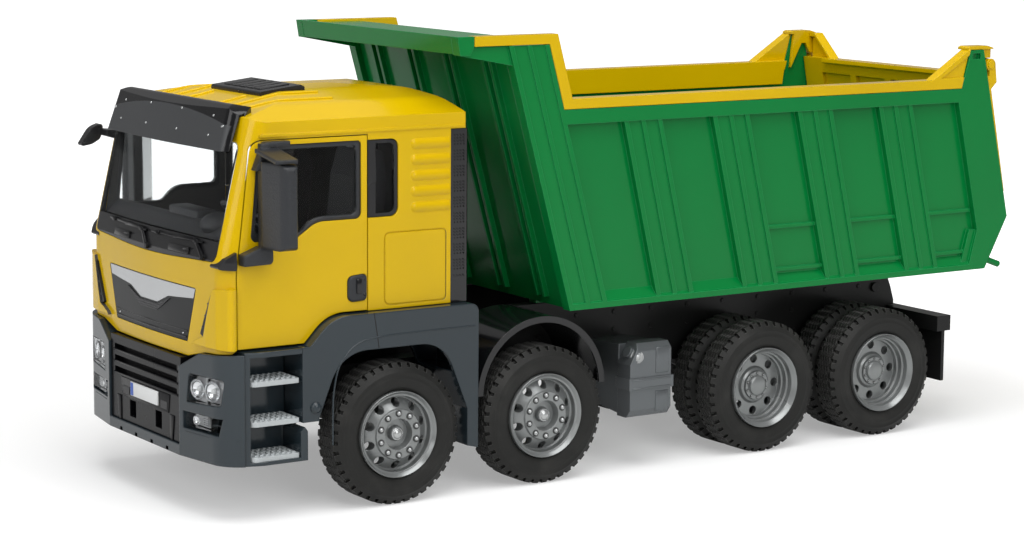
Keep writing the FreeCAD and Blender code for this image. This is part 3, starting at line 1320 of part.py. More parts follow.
def bed_front():
    """Raked front wall with upright ribs, carrying the canopy plate and its down-turned lip."""
    half = wall_inner() - S.fit_gap
    low, high = S.bed_low, S.canopy_plate
    back = 3.0
    wall = prism("front_wall", "XZ", -half, half, [[
        (front_x(low) - back, low), (front_x(high) - back, high), (S.canopy_front - 1.6, high),
        (S.canopy_front - 1.4 - 1.6, S.canopy_low), (S.canopy_front - 1.4, S.canopy_low),
        (S.canopy_front, S.canopy_top), (S.canopy_front - 2, S.canopy_top), (S.canopy_front - 2, high + 2.2),
        (front_x(high) - back - S.bed_wall, high + 2.2), (front_x(low) - back - S.bed_wall, low),
    ]])
    ribs = []
    for number, y in enumerate((-52.9, -17.6, 17.6, 52.9)):
        for edge in (-4.2, 2.0):
            ribs.append(prism(f"front_rib_{number}_{int(edge > 0)}", "XZ", y + edge, y + edge + 2.2, [[
                (front_x(low + 4) - back - 1, low + 4), (front_x(low + 4) - 0.4, low + 4),
                (front_x(high) - 0.4, high), (front_x(high) - back - 1, high),
            ]]))
    keep(fuse("bed_front", wall, *ribs), "bed_front")


def bed_floor():
    """Floor plate with two runners that rest on the subframe, the hinge lugs and the hoist lugs."""
    half = wall_inner() - S.fit_gap
    low, high = S.bed_low, S.bed_low + S.bed_floor
    front = front_x(low) - 3.0 - S.bed_wall - S.fit_gap
    rear = S.bed_rear_low + S.gate_thick + 1.6
    plate = box("floor_plate", (rear, front), (-half, half), (low, high))
    outer = S.frame_half
    runner = box("floor_runner", (S.hinge_x + 18, front - 2), (outer - S.rail_web * 2, outer),
                 (S.subframe_top + S.fit_gap, low))
    side = outer - S.rail_web * 2 - 0.5
    lug = prism("floor_lug", "XZ", side - 5, side, [[
        (S.hinge_x - S.hinge_boss, S.hinge_z), (S.hinge_x - S.hinge_boss, S.hinge_z - S.hinge_boss, 7),
        (S.hinge_x + S.hinge_boss, S.hinge_z - S.hinge_boss, 7), (S.hinge_x + S.hinge_boss, S.hinge_z),
        (S.hinge_x + S.hinge_boss + 6, low), (S.hinge_x - S.hinge_boss - 2, low),
    ]], [(S.hinge_x, S.hinge_z, S.hinge_pin + S.run_gap)])
    ear = prism("hoist_ear", "XZ", 8.0, 11.0, [[
        (HOIST_EYE[0] - 5, low), (HOIST_EYE[0] - 4.5, HOIST_EYE[1] - 4.5, 4),
        (HOIST_EYE[0] + 4.5, HOIST_EYE[1] - 4.5, 4), (HOIST_EYE[0] + 5, low),
    ]])
    keep(fuse("bed_floor", plate, runner, mirrored("runner_other", runner), lug, mirrored("lug_other", lug),
              ear, mirrored("hoist_ear_other", ear)), "bed_floor")


def side_boards():
    """Yellow boards along the top rails: skirt, front leg up to the canopy, rear gusset, pivot bracket."""
    inner, outer = board_inner(), S.body_half
    seat = S.rail_top + S.fit_gap
    skirt_low = S.rail_low - 1
    plate = canopy_cheek_top() + S.fit_gap
    leg_low = front_x(seat) - S.front_post - S.fit_gap
    leg_high = front_x(plate) - S.front_post - S.fit_gap
    cap = prism("board_cap", "XZ", inner, outer, [[
        (leg_low, seat), (leg_low - 3.8, S.board_top), (post_x(S.board_top) + S.fit_gap, S.board_top),
        (post_x(seat) + S.fit_gap, seat),
    ]])
    leg = prism("board_leg", "XZ", wall_inner(), outer, [[
        (leg_low, seat), (leg_high, plate), (S.canopy_front - 9 - S.fit_gap, plate),
        (S.canopy_front - 9 - S.fit_gap, S.canopy_top), (leg_high - 4.6, S.canopy_top), (leg_low - 6, seat),
    ]])
    lining = wall_inner() - S.fit_gap
    skirt = prism("board_skirt", "XZ", inner, lining, [[
        (leg_low - 12, skirt_low), (leg_low - 12, S.board_top), (S.post_front_top - 2, S.board_top),
        (S.post_front_top, skirt_low),
    ]])
    x, z = S.gate_pivot_x, S.gate_pivot_z
    crest = S.post_top + 2.2
    gusset = prism("board_gusset", "XZ", outer - 6, outer, [[
        (S.post_front_top + 18.8, S.board_top - 0.4), (post_x(crest - 1) + S.fit_gap, crest - 1),
        (post_x(S.board_top - 0.4) + S.fit_gap, S.board_top - 0.4),
    ]])
    face = prism("gusset_face", "XZ", outer - 0.9, outer + 1, [[
        (S.post_front_top + 12.5, S.board_top + 0.8), (S.post_front_top - 10, S.post_top - 0.4),
        (S.post_front_top - 30, S.post_top - 0.4), (S.post_front_top - 30, S.board_top + 0.8),
    ]])
    bridge = prism("bracket_bridge", "XZ", inner, outer - 0.6, [[
        (x - 1.2, S.post_top + S.fit_gap), (x - 1.2, crest - 1.2), (x + 3, crest),
        (post_x(crest) + 0.6, crest),
        (post_x(crest) + 2.4, crest - 0.7), (post_x(crest) + 2.4, S.post_top + S.fit_gap),
    ]])
    tail = box(
        "bracket_tail", (x - 0.8, rear_x(z + 3.8) - 0.4), (inner, outer - 2.2), (z + 3.6, S.post_top + 0.8),
    )
    cheek = prism("bracket_cheek", "XZ", inner, lining, [[
        (S.post_front_top - 6, skirt_low + 9), (post_x(crest), crest - 1.4), (x - 0.9, crest - 1.4),
        (x - 3.2, z - 2.6, 3),
        (x + 2.8, z - 2.6, 2), (x + 6, z + 3), (S.post_front_top - 13.6, z + 3),
    ]])
    pin = rod("gate_pin_rod", S.gate_pin, x, z, lining - 1, outer - 0.4)
    head = rod("gate_pin_head", 2.2, x, z, outer - 0.5, outer)
    board = fuse("side_board", cap, leg, skirt, cut("gusset", gusset, face), bridge, tail, cheek, pin, head)
    keep(both_sides("side_boards", board), "side_boards")


def board_inner():
    """y of the inner side of the yellow boards' lining."""
    return wall_inner() - S.fit_gap - 2.0


def tailgate():
    """Top-hung tailgate: kinked panel behind the posts, its fields, corner ears and hinge straps."""
    half = wall_inner() - 0.6
    top, thick = S.gate_top, S.gate_thick
    face_x = rear_x(top) - 2.0
    kink_x = S.bed_rear_wide + 0.4
    panel = prism("gate_panel", "XZ", -half, half, [[
        (face_x, top), (rear_x(124) - 0.9, 124), (kink_x, S.bed_knee), (S.bed_rear_low - 0.4, S.bed_low + 1),
        (S.bed_rear_low - 0.4 + thick, S.bed_low + 1), (kink_x + thick + 0.6, S.bed_knee + 1),
        (face_x + thick, top),
    ]])
    flange = prism("gate_flange", "XZ", -52, 52, [[
        (face_x - 1.4, top - 3), (face_x - 1.4, top), (face_x + thick + 2.6, top),
        (face_x + thick + 2.6, top - 2.2),
        (face_x + thick, top - 3),
    ]])
    x, z = S.gate_pivot_x, S.gate_pivot_z
    lap = prism("gate_lap", "XZ", half - 0.2, S.body_half - 0.6, [[
        (rear_x(186) - 0.4, 186), (rear_x(186) - 2.0, 186), (rear_x(124) - 0.9, 124),
        (rear_x(124) - 0.4, 124),
    ]])
    strap = prism("gate_strap", "XZ", wall_inner() + 0.3, S.body_half - 0.6, [[
        (x + 0.9, z), (x + 0.9, 186), (rear_x(178) - 0.5, 178), (x - 4.4, 182.6), (x - 3.2, z),
    ]])
    boss = rod("gate_boss", 3.2, x, z, wall_inner() + 0.3, S.body_half - 0.6)
    bore = rod("gate_bore", S.gate_pin + S.run_gap, x, z, wall_inner() - 1, S.body_half + 1)
    hinge = cut("gate_hinge", fuse("gate_hinge_form", strap, boss), bore)
    side = board_inner() - 0.5
    ear = prism("gate_ear", "YZ", x - 2.6, x + 1.2, [[
        (side, top - 6), (side, S.post_top + 0.8), (side - 4.0, S.post_top + 0.8, 1), (50.5, top),
        (50.5, top - 6),
    ]])
    brim = prism("gate_ear_brim", "YZ", x - 2.6, x + 3.6, [[
        (side, S.post_top - 1.2), (side, S.post_top + 0.8), (side - 4.0, S.post_top + 0.8, 1), (50.5, top),
        (50.5, top - 2.2), (side - 4.6, S.post_top - 1.2),
    ]])
    corner = fuse("gate_corner", lap, hinge, ear, brim)
    fields = []
    for number, y in enumerate((-44, -14.7, 14.7, 44)):
        for where, near, far in (("out", 1.0, -8), ("in", thick - 2.9, thick + 8)):
            fields.append(prism(f"gate_field_{number}_{where}", "XZ", y - 12.2, y + 12.2, [[
                (rear_x(179) + near - 1.4, 179), (rear_x(179) + far - 1.4, 179),
                (rear_x(127) + far - 0.6, 127),
                (rear_x(127) + near - 0.6, 127),
            ]]))
    body = fuse("gate_body", panel, flange, corner, mirrored("gate_corner_other", corner))
    keep(cut("tailgate", body, *fields), "tailgate")


def hoist():
    """Hydraulic cylinder between the rails: barrel on a cross shaft, rod with an eye under the floor."""
    bx, bz = HOIST_BASE
    ex, ez = HOIST_EYE
    run, rise = ex - bx, ez - bz
    length = math.hypot(run.value, rise.value)
    angle = math.degrees(math.atan2(rise.value, run.value))
    lie = Rotation(Vector(0, 1, 0), 90 - angle)

    def along(name, radius, start, end):
        bar = doc.addObject("Part::Cylinder", name)
        bind(bar, "Radius", radius)
        bar.Height = end - start
        spot = Vector(bx.value, 0, bz.value) + lie.multVec(Vector(0, 0, start))
        bar.Placement = Placement(spot, lie)
        return bar

    knuckle = rod("barrel_knuckle", 5.0, bx, bz, -7, 7)
    shaft_hole = rod("barrel_bore", 2.2 + S.run_gap, bx, bz, -8, 8)
    barrel = fuse("barrel_form", along("barrel_tube", 6.0, 0, length - 9), knuckle)
    hollow = along("barrel_hollow", 4.0, 7.0, length)
    keep(cut("hoist_barrel", barrel, hollow, shaft_hole), "hoist_barrel")
    eye = rod("rod_eye", 4.4, ex, ez, -4, 4)
    keep(fuse("hoist_rod", along("rod_bar", 3.6, 8.0, length), eye), "hoist_rod")


bed_side()
bed_front()
bed_floor()
side_boards()
tailgate()
hoist()


# --------------------------------------------------------------------------------------------- export
doc.recompute()
for thing in doc.Objects:
    if "Invalid" in thing.State or "Error" in thing.State:
        raise RuntimeError(f"{thing.Label} did not build: {thing.State}")
os.makedirs("parts", exist_ok=True)
for node in nodes:
    if node.Shape.isNull() or not node.Shape.isValid():
        raise RuntimeError(f"{node.Label} has no valid shape")
    node.Shape.exportStep(f"parts/{node.Label}.step")
    print(f"{node.Label:22s} {len(node.Shape.Solids)} solids {node.Shape.Volume:10.1f} mm3")
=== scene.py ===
# %% [markdown]
# # A toy tipper truck, dressed for its picture
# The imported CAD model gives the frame: every solid is in its real place, in metres.
# Here each moulding gets its plastic, and the small details that only a picture needs.

# %% Load the frame
import json
import math

import bmesh
import bpy
from mathutils import Matrix, Vector


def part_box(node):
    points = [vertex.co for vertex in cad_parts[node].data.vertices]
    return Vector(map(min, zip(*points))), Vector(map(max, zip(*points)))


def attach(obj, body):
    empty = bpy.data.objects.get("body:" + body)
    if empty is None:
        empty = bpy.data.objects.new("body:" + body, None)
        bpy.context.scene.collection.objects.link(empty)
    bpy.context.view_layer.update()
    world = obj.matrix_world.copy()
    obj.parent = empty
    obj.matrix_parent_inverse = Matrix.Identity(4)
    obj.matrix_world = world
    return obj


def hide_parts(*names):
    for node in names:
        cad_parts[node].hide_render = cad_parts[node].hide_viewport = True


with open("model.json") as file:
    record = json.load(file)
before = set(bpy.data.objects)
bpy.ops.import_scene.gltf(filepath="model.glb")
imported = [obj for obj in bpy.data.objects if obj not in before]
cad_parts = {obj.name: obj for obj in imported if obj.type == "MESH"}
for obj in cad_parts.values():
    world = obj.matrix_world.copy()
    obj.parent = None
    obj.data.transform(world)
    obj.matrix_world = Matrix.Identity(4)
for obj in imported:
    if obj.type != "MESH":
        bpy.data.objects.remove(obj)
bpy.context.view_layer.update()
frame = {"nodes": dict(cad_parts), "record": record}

nodes = frame["nodes"]
MM = 0.001

# %% [markdown]
# ## The camera
# A long lens stands off the front left corner of the truck, a little above its bed.

# %% Set up the camera
CAMERA_SPOT = Vector((0.75565, 1.11640, 0.29502))
HEADING, PITCH, ROLL = (math.radians(a) for a in (-123.069, -8.673, 0.398))
forward = Vector((math.cos(HEADING) * math.cos(PITCH), math.sin(HEADING) * math.cos(PITCH), math.sin(PITCH)))
level = forward.cross(Vector((0, 0, 1))).normalized()
above = level.cross(forward)
right = level * math.cos(ROLL) + above * math.sin(ROLL)
up = above * math.cos(ROLL) - level * math.sin(ROLL)
camera = bpy.data.objects.new("camera", bpy.data.cameras.new("camera"))
camera.data.lens = 93.2
camera.data.sensor_width = 36
camera.data.clip_end = 50
camera.matrix_world = Matrix.Translation(CAMERA_SPOT) @ Matrix((right, up, -forward)).transposed().to_4x4()
bpy.context.scene.collection.objects.link(camera)
bpy.context.scene.camera = camera
print("camera", tuple(round(v, 3) for v in camera.location))

# %% [markdown]
# ## Building with nodes
# A material is a tree of nodes.  A few helpers keep the trees short to write: each adds one node, feeds its
# sockets with links or numbers, and gives the socket that comes out.

# %% Node helpers
def material(name):
    """A new material with an empty node tree and its output node."""
    made = bpy.data.materials.new(name)
    made.use_nodes = True
    made.node_tree.nodes.clear()
    return made, made.node_tree, made.node_tree.nodes.new("ShaderNodeOutputMaterial")


def feed(tree, slot, value):
    """Link a socket to a slot, or set the slot to a value."""
    if isinstance(value, bpy.types.NodeSocket):
        tree.links.new(value, slot)
    else:
        slot.default_value = value


def linked(tree, kind, **values):
    """A node with its sockets set or linked; the names use _ for a space."""
    node = tree.nodes.new(kind)
    for name, value in values.items():
        feed(tree, node.inputs[name.replace("_", " ")], value)
    return node


def math_node(tree, operation, *inputs, kind="ShaderNodeMath", result=0):
    """A Math node fed by sockets and numbers."""
    node = tree.nodes.new(kind)
    node.operation = operation
    for slot, value in zip(node.inputs, inputs):
        feed(tree, slot, value)
    return node.outputs[result]


def vector_node(tree, operation, *inputs):
    """The same for vectors; a length or a dot product comes out as one number."""
    result = "Value" if operation in ("LENGTH", "DOT_PRODUCT") else "Vector"
    return math_node(tree, operation, *inputs, kind="ShaderNodeVectorMath", result=result)


def spread(tree, value, low, high, to_low, to_high):
    """A Map Range node from one span of numbers to another."""
    node = tree.nodes.new("ShaderNodeMapRange")
    for slot, number in zip(("From Min", "From Max", "To Min", "To Max"), (low, high, to_low, to_high)):
        node.inputs[slot].default_value = number
    tree.links.new(value, node.inputs["Value"])
    return node.outputs["Result"]


def object_spot(tree):
    """The place of the shaded point in its object's own space."""
    return tree.nodes.new("ShaderNodeTexCoord").outputs["Object"]


print("node helpers ready")

# %% [markdown]
# ## Floor
# A white studio sweep.  Near the truck the paper is a plain pale grey that keeps a soft shadow; further
# out it glows white for the camera and through glass, so that the picture fades to a white background
# without more light on the truck.  Gloss sees less than half of that glow, because a full white floor
# would veil the colour of every shiny moulding.

# %% Make the floor
FLOOR_SIZE = 9.0
PAPER, FAR_PAPER = 0.68, 0.9 * 0.68
GLOW, FAR_GLOW, GLOW_IN_GLOSS = 0.34, 0.98, 0.45
FADE_FROM, FADE_TO = 0.30, 0.75
floor_bm = bmesh.new()
bmesh.ops.create_grid(floor_bm, x_segments=1, y_segments=1, size=FLOOR_SIZE)
floor_mesh = bpy.data.meshes.new("floor")
floor_bm.to_mesh(floor_mesh)
floor_bm.free()
floor = bpy.data.objects.new("floor", floor_mesh)
bpy.context.scene.collection.objects.link(floor)
floor_paint, tree, out = material("studio_floor")
far = spread(tree, vector_node(tree, "LENGTH", object_spot(tree)), FADE_FROM, FADE_TO, 0.0, 1.0)
paper = tree.nodes.new("ShaderNodeBsdfDiffuse")
tone = tree.nodes.new("ShaderNodeValToRGB")
tone.color_ramp.elements[0].color = (PAPER, PAPER, PAPER, 1)
tone.color_ramp.elements[1].color = (FAR_PAPER, FAR_PAPER, FAR_PAPER, 1)
tree.links.new(far, tone.inputs["Fac"])
tree.links.new(tone.outputs["Color"], paper.inputs["Color"])
path = tree.nodes.new("ShaderNodeLightPath")
mirrored_ray = math_node(tree, "MULTIPLY", path.outputs["Is Glossy Ray"], GLOW_IN_GLOSS)
seen = math_node(tree, "MAXIMUM", path.outputs["Is Camera Ray"], mirrored_ray)
seen = math_node(tree, "MAXIMUM", seen, path.outputs["Is Transmission Ray"])
strength = math_node(tree, "MULTIPLY", seen, spread(tree, far, 0, 1, GLOW, FAR_GLOW))
glow = linked(tree, "ShaderNodeEmission", Strength=strength)
both = tree.nodes.new("ShaderNodeAddShader")
tree.links.new(paper.outputs[0], both.inputs[0])
tree.links.new(glow.outputs[0], both.inputs[1])
tree.links.new(both.outputs[0], out.inputs["Surface"])
floor_mesh.materials.append(floor_paint)
print("floor", FLOOR_SIZE)

# %% [markdown]
# ## Light
# Three wide soft lamps, over, beside and before the truck, and a dim even world: plain studio light, at
# which a colour comes out about as it is written.  A small weak lamp adds the glints along rounded edges.

# %% Light it
SKY_LIGHT, SKY_SEEN = 0.30, 1.0
world = bpy.data.worlds.new("studio")
world.use_nodes = True
bpy.context.scene.world = world
sky = world.node_tree.nodes["Background"]
sky.inputs["Color"].default_value = (1, 1, 1, 1)
ray = world.node_tree.nodes.new("ShaderNodeLightPath")
brightness = spread(world.node_tree, ray.outputs["Is Camera Ray"], 0, 1, SKY_LIGHT, SKY_SEEN)
world.node_tree.links.new(brightness, sky.inputs["Strength"])

LAMPS = [
    # name, place, looks at, size, watts
    ("over", (0.10, 0.35, 1.45), (0.0, 0.0, 0.05), 1.2, 18.0),
    ("side", (0.10, 1.60, 0.80), (0.0, 0.0, 0.10), 0.9, 8.1),
    ("front", (1.50, 0.30, 0.75), (0.1, 0.0, 0.10), 0.8, 6.5),
    ("glint", (0.75, 0.95, 1.10), (0.1, 0.0, 0.10), 0.16, 1.6),
]
for name, place, target, extent, watts in LAMPS:
    lamp = bpy.data.objects.new(name, bpy.data.lights.new(name, "AREA"))
    lamp.data.shape = "SQUARE"
    lamp.data.size = extent
    lamp.data.energy = watts
    lamp.location = place
    lamp.rotation_euler = (Vector(target) - Vector(place)).to_track_quat("-Z", "Y").to_euler()
    bpy.context.scene.collection.objects.link(lamp)
bpy.context.scene.view_settings.view_transform = "Standard"
print("lamps", len(LAMPS))

# %% [markdown]
# ## Moulded plastic
# Every moulding is one coloured plastic.  Real plastic is never quite even: the colour drifts a little
# across a panel, the gloss varies with the mould's polish, and fine grain breaks up the reflection.
# No moulded edge is sharp, so a Bevel node rounds the shading there, and the same node finds the edges,
# which are painted a little paler: partly rubbed wear, partly a painted highlight where a rounded edge
# catches the light.

# %% Mix a moulded plastic
NOISE_LOW, NOISE_HIGH = 0.3, 0.7
DUST_COLOUR = (0.30, 0.29, 0.27, 1)


def blend(tree, share, first, second, kind="RGBA"):
    """A Mix node from a socket to a second value, by a share; its sockets share names, so type tells them."""
    node = tree.nodes.new("ShaderNodeMix")
    node.data_type = "FLOAT" if kind == "VALUE" else kind

    def socket(group, name):
        return [slot for slot in group if slot.name == name and slot.type == kind][0]

    tree.links.new(share, node.inputs[0])
    tree.links.new(first, socket(node.inputs, "A"))
    socket(node.inputs, "B").default_value = second
    return socket(node.outputs, "Result")


def plastic(name, colour, rough, shine=0.35, drift=0.05, grain=0.02, grain_size=900.0, metal=0.0,
            edge=0.0004, edge_wear_and_glint=0.25, dust=0.0, edge_wear_and_glint_colour=None):
    """Moulded plastic: drifting colour, varied gloss, fine grain, light dust, and rounded edges painted
    paler, partly as rubbed wear and partly as a painted highlight.
    """
    made, tree, out = material(name)
    spot = object_spot(tree)
    cloud = linked(tree, "ShaderNodeTexNoise", Vector=spot, Scale=11.0, Detail=4.0).outputs["Fac"]
    ramp = tree.nodes.new("ShaderNodeValToRGB")
    ramp.color_ramp.elements[0].position = NOISE_LOW
    ramp.color_ramp.elements[1].position = NOISE_HIGH
    ramp.color_ramp.elements[0].color = tuple(c * (1 - drift) for c in colour) + (1,)
    ramp.color_ramp.elements[1].color = tuple(min(1, c * (1 + drift)) for c in colour) + (1,)
    tree.links.new(cloud, ramp.inputs["Fac"])
    soft = linked(tree, "ShaderNodeBevel", Radius=edge)
    soft.samples = 4
    flat = tree.nodes.new("ShaderNodeNewGeometry").outputs["Normal"]
    turn = vector_node(tree, "DOT_PRODUCT", soft.outputs["Normal"], flat)
    # Edges are painted paler: partly rubbed wear, partly a painted highlight along the edge.
    pale = (*edge_wear_and_glint_colour, 1) if edge_wear_and_glint_colour else tuple(min(1, c * 1.6 + 0.03) for c in colour) + (1,)
    tint = blend(tree, spread(tree, turn, 0.995, 0.80, 0.0, edge_wear_and_glint), ramp.outputs["Color"], pale)
    if dust:
        specks = linked(tree, "ShaderNodeTexNoise", Vector=spot, Scale=70.0, Detail=6.0).outputs["Fac"]
        tint = blend(tree, spread(tree, specks, 0.45, 0.8, 0.0, dust), tint, DUST_COLOUR)
    fine = linked(tree, "ShaderNodeTexNoise", Vector=spot, Scale=grain_size, Detail=2.0).outputs["Fac"]
    bump = linked(tree, "ShaderNodeBump", Strength=grain, Distance=0.0004, Height=fine,
                  Normal=soft.outputs["Normal"]).outputs["Normal"]
    gloss = spread(tree, cloud, NOISE_LOW, NOISE_HIGH, rough * 0.82, rough * 1.18)
    bsdf = linked(tree, "ShaderNodeBsdfPrincipled", Base_Color=tint, Normal=bump, Roughness=gloss)
    bsdf.inputs["Specular IOR Level"].default_value = shine
    bsdf.inputs["Metallic"].default_value = metal
    tree.links.new(bsdf.outputs[0], out.inputs["Surface"])
    return made


print("plastic ready")

# %% [markdown]
# Each finish gives the plastic's linear colour and its roughness, and what else sets it apart: satin black
# for the frame, gloss for the arches, a metal flake in the silver mouldings, dust on the rubber.

# %% Choose the finishes
YELLOW = {"colour": (0.675, 0.435, 0.0), "rough": 0.16, "shine": 0.24, "edge_wear_and_glint": 0.30, "edge": 0.0006}
FINISHES = {
    "body_yellow": plastic("yellow_plastic", **YELLOW),
    # On the green the paler edges are partly wear and partly a painted highlight along the ribs.
    "bed_green": plastic("green_plastic", (0.001, 0.190, 0.038), 0.20, shine=0.20, edge_wear_and_glint=0.75, edge=0.0005,
                         edge_wear_and_glint_colour=(0.03, 0.38, 0.13)),
    "guard_blue_grey": plastic("blue_grey_plastic", (0.020, 0.030, 0.037), 0.13, shine=0.45, edge=0.0010),
    "frame_black": plastic("frame_plastic", (0.010, 0.010, 0.010), 0.36, shine=0.25, grain=0.05),
    "trim_black": plastic("trim_plastic", (0.014, 0.014, 0.015), 0.28, shine=0.35, grain=0.06),
    # On the tyres the paler edges are painted glints along the slots and ribs of the tread.
    "tyre_black": plastic("tyre_rubber", (0.014, 0.014, 0.013), 0.50, shine=0.25, grain=0.10,
                          grain_size=1500.0, edge_wear_and_glint=0.8, edge=0.0003, dust=0.05, edge_wear_and_glint_colour=(0.13, 0.13, 0.125)),
    "rim_grey": plastic("silver_plastic", (0.25, 0.26, 0.26), 0.27, metal=0.55, edge_wear_and_glint=0.3, edge=0.0005),
    "tank_silver": plastic("tank_plastic", (0.13, 0.14, 0.147), 0.22, metal=0.55, edge_wear_and_glint=0.4, edge=0.0008),
    "lamp_red": plastic("red_lens", (0.45, 0.01, 0.01), 0.15, shine=0.5),
    "interior_grey": plastic("interior_plastic", (0.050, 0.050, 0.054), 0.5, shine=0.25, grain=0.10),
    "rod_grey": plastic("rod_plastic", (0.40, 0.41, 0.41), 0.25, metal=0.4),
    "tread_grey": plastic("tread_plastic", (0.46, 0.49, 0.50), 0.32, metal=0.15, edge_wear_and_glint=0.5),
    "gloss_black": plastic("gloss_plastic", (0.006, 0.006, 0.007), 0.12, shine=0.5),
    "bumper_black": plastic("bumper_plastic", (0.004, 0.004, 0.005), 0.26, shine=0.18),
    "grille_grey": plastic("grille_plastic", (0.015, 0.016, 0.017), 0.36, shine=0.20, grain=0.06),
    "mirror_grey": plastic("mirror_plastic", (0.022, 0.024, 0.028), 0.32, shine=0.40, grain=0.35,
                           grain_size=1100.0, edge=0.0022, edge_wear_and_glint=0.15),
    "nut_silver": plastic("nut_plastic", (0.46, 0.47, 0.47), 0.22, metal=0.7, edge_wear_and_glint=0.2),
    # Dark grey painted shade that lies under the wheel nuts.
    "nut_shade_grey": plastic("nut_shade_plastic", (0.035, 0.036, 0.036), 0.35),
    "wing_silver": plastic("wing_plastic", (0.52, 0.53, 0.54), 0.24, metal=0.35, edge_wear_and_glint=0.2),
    "chrome": plastic("plated_plastic", (0.62, 0.63, 0.64), 0.14, metal=1.0, edge_wear_and_glint=0.1),
    "plate_white": plastic("plate_plastic", (0.75, 0.76, 0.76), 0.3, edge_wear_and_glint=0.0),
    "plate_blue": plastic("plate_band", (0.02, 0.09, 0.45), 0.3, edge_wear_and_glint=0.0),
}
print("opaque finishes", len(FINISHES))

# %% [markdown]
# The windows and lamp lenses are thin clear mouldings.  A low refractive index lets the cab show through
# them without bending it, as a thin pane does.

# %% Mix the clear plastics
def clear_plastic(name, tint, rough=0.03):
    """Thin clear moulding: light goes almost straight through it, and its gloss shows smears."""
    made, tree, out = material(name)
    bsdf = tree.nodes.new("ShaderNodeBsdfPrincipled")
    bsdf.inputs["Base Color"].default_value = (*tint, 1)
    bsdf.inputs["Transmission Weight"].default_value = 1.0
    bsdf.inputs["IOR"].default_value = 1.12
    smear = linked(tree, "ShaderNodeTexNoise", Vector=object_spot(tree), Scale=25.0, Detail=3.0)
    gloss = spread(tree, smear.outputs["Fac"], 0.3, 0.8, rough, rough * 2.5)
    tree.links.new(gloss, bsdf.inputs["Roughness"])
    tree.links.new(bsdf.outputs[0], out.inputs["Surface"])
    return made


FINISHES["window_clear"] = clear_plastic("window_plastic", (0.92, 0.94, 0.94))
FINISHES["lamp_clear"] = clear_plastic("lens_plastic", (0.95, 0.96, 0.97))
print("finishes", len(FINISHES))

# %% [markdown]
# Each node takes the finish of its slot in the record.  A few mouldings differ from others of their slot,
# and they are named here.

# %% Give each node its finish
slot_of = {part["node"]: part["material_slot"] for part in frame["record"]["subparts"]}
for name, thing in nodes.items():
    thing.data.materials.clear()
    thing.data.materials.append(FINISHES[slot_of[name]])
NAMED_FINISHES = {
    "step_treads": "tread_grey",
    "front_grille": "grille_grey",
    "grille_trim": "wing_silver",
    "bumper_grille": "bumper_black",
    "door_trim_left": "mirror_grey",
    "door_trim_right": "mirror_grey",
    "axle_arches": "gloss_black",
    "tank_bodies": "tank_silver",
    "rear_columns": "gloss_black",
}
for name, finish in NAMED_FINISHES.items():
    nodes[name].data.materials[0] = FINISHES[finish]
print("nodes painted", len(nodes))

# %% [markdown]
# ## Painted shade inside the cab
# The cab shell and its doors are yellow.  Inside the cab they lie in shade, and that shade is painted on:
# where a face looks towards the middle of the cab, its colour turns to a dark grey painted shade.
# The test is made in the piece's own space, so a door keeps its painted shade when it swings.

# %% Paint the shade inside the cab
CAB_MIDDLE = (0.165, 0.0, 0.135)
# Dark grey painted shade for the faces inside the cab.
INNER_SHADE_COLOUR = (0.075, 0.073, 0.070, 1)
INNER_SHADE_PARTS = ("cab_shell", "door_left", "door_right")


def principled(made):
    """The Principled node of a material."""
    return [node for node in made.node_tree.nodes if node.type == "BSDF_PRINCIPLED"][0]


def yellow_with_inner_shade(name):
    """Yellow plastic that turns to a dark grey painted shade on faces that look towards the middle of the
    cab.
    """
    made = plastic(name, **YELLOW)
    tree = made.node_tree
    colour = principled(made).inputs["Base Color"]
    place = tree.nodes.new("ShaderNodeTexCoord")
    away = vector_node(tree, "NORMALIZE",
                       vector_node(tree, "SUBTRACT", place.outputs["Object"], CAB_MIDDLE))
    facing_out = vector_node(tree, "DOT_PRODUCT", place.outputs["Normal"], away)
    # Where the painted shade goes: faces that look towards the middle of the cab.
    inside = spread(tree, facing_out, -0.50, -0.44, 1.0, 0.0)
    tree.links.new(blend(tree, inside, colour.links[0].from_socket, INNER_SHADE_COLOUR), colour)
    return made


for name in INNER_SHADE_PARTS:
    nodes[name].data.materials[0] = yellow_with_inner_shade(f"{name}_plastic")
print("inner_shade_painted", INNER_SHADE_PARTS)

# %% [markdown]
# ## Making a piece
# A detail starts as a bmesh made of a few operators: a cube that is scaled and bevelled, a cone, a sphere,
# or an outline that is extruded.  Its place is in its mesh, in the truck's own frame, so its object
# stays at the origin and only needs the body that it rides on.

# %% Shape helpers, in millimetres
def block(bm, low, high, soft=0.0, segments=2):
    """A box between two corners, its edges rounded."""
    low, high = Vector(low), Vector(high)
    made = bmesh.ops.create_cube(bm, size=1.0)["verts"]
    bmesh.ops.scale(bm, vec=(high - low) * MM, verts=made)
    bmesh.ops.translate(bm, vec=(low + high) * (MM / 2), verts=made)
    soften(bm, made, soft, segments)


def soften(bm, verts, soft, segments=2):
    """Round the edges between these vertices."""
    if soft:
        edges = list({edge for vert in verts for edge in vert.link_edges})
        bmesh.ops.bevel(bm, geom=edges, offset=soft * MM, segments=segments, profile=0.5, affect="EDGES",
                        material=-1)


def facing(direction):
    """A turn that points +Z along a direction."""
    return Vector(direction).to_track_quat("Z", "Y").to_matrix().to_4x4()


def bar(bm, start, end, radius, tip=None, segments=16):
    """A round bar, or a cone when its tip has another radius."""
    start, end = Vector(start) * MM, Vector(end) * MM
    place = Matrix.Translation((start + end) / 2) @ facing(end - start)
    return bmesh.ops.create_cone(bm, cap_ends=True, segments=segments, radius1=radius * MM,
                                 radius2=(radius if tip is None else tip) * MM,
                                 depth=(end - start).length, matrix=place)["verts"]


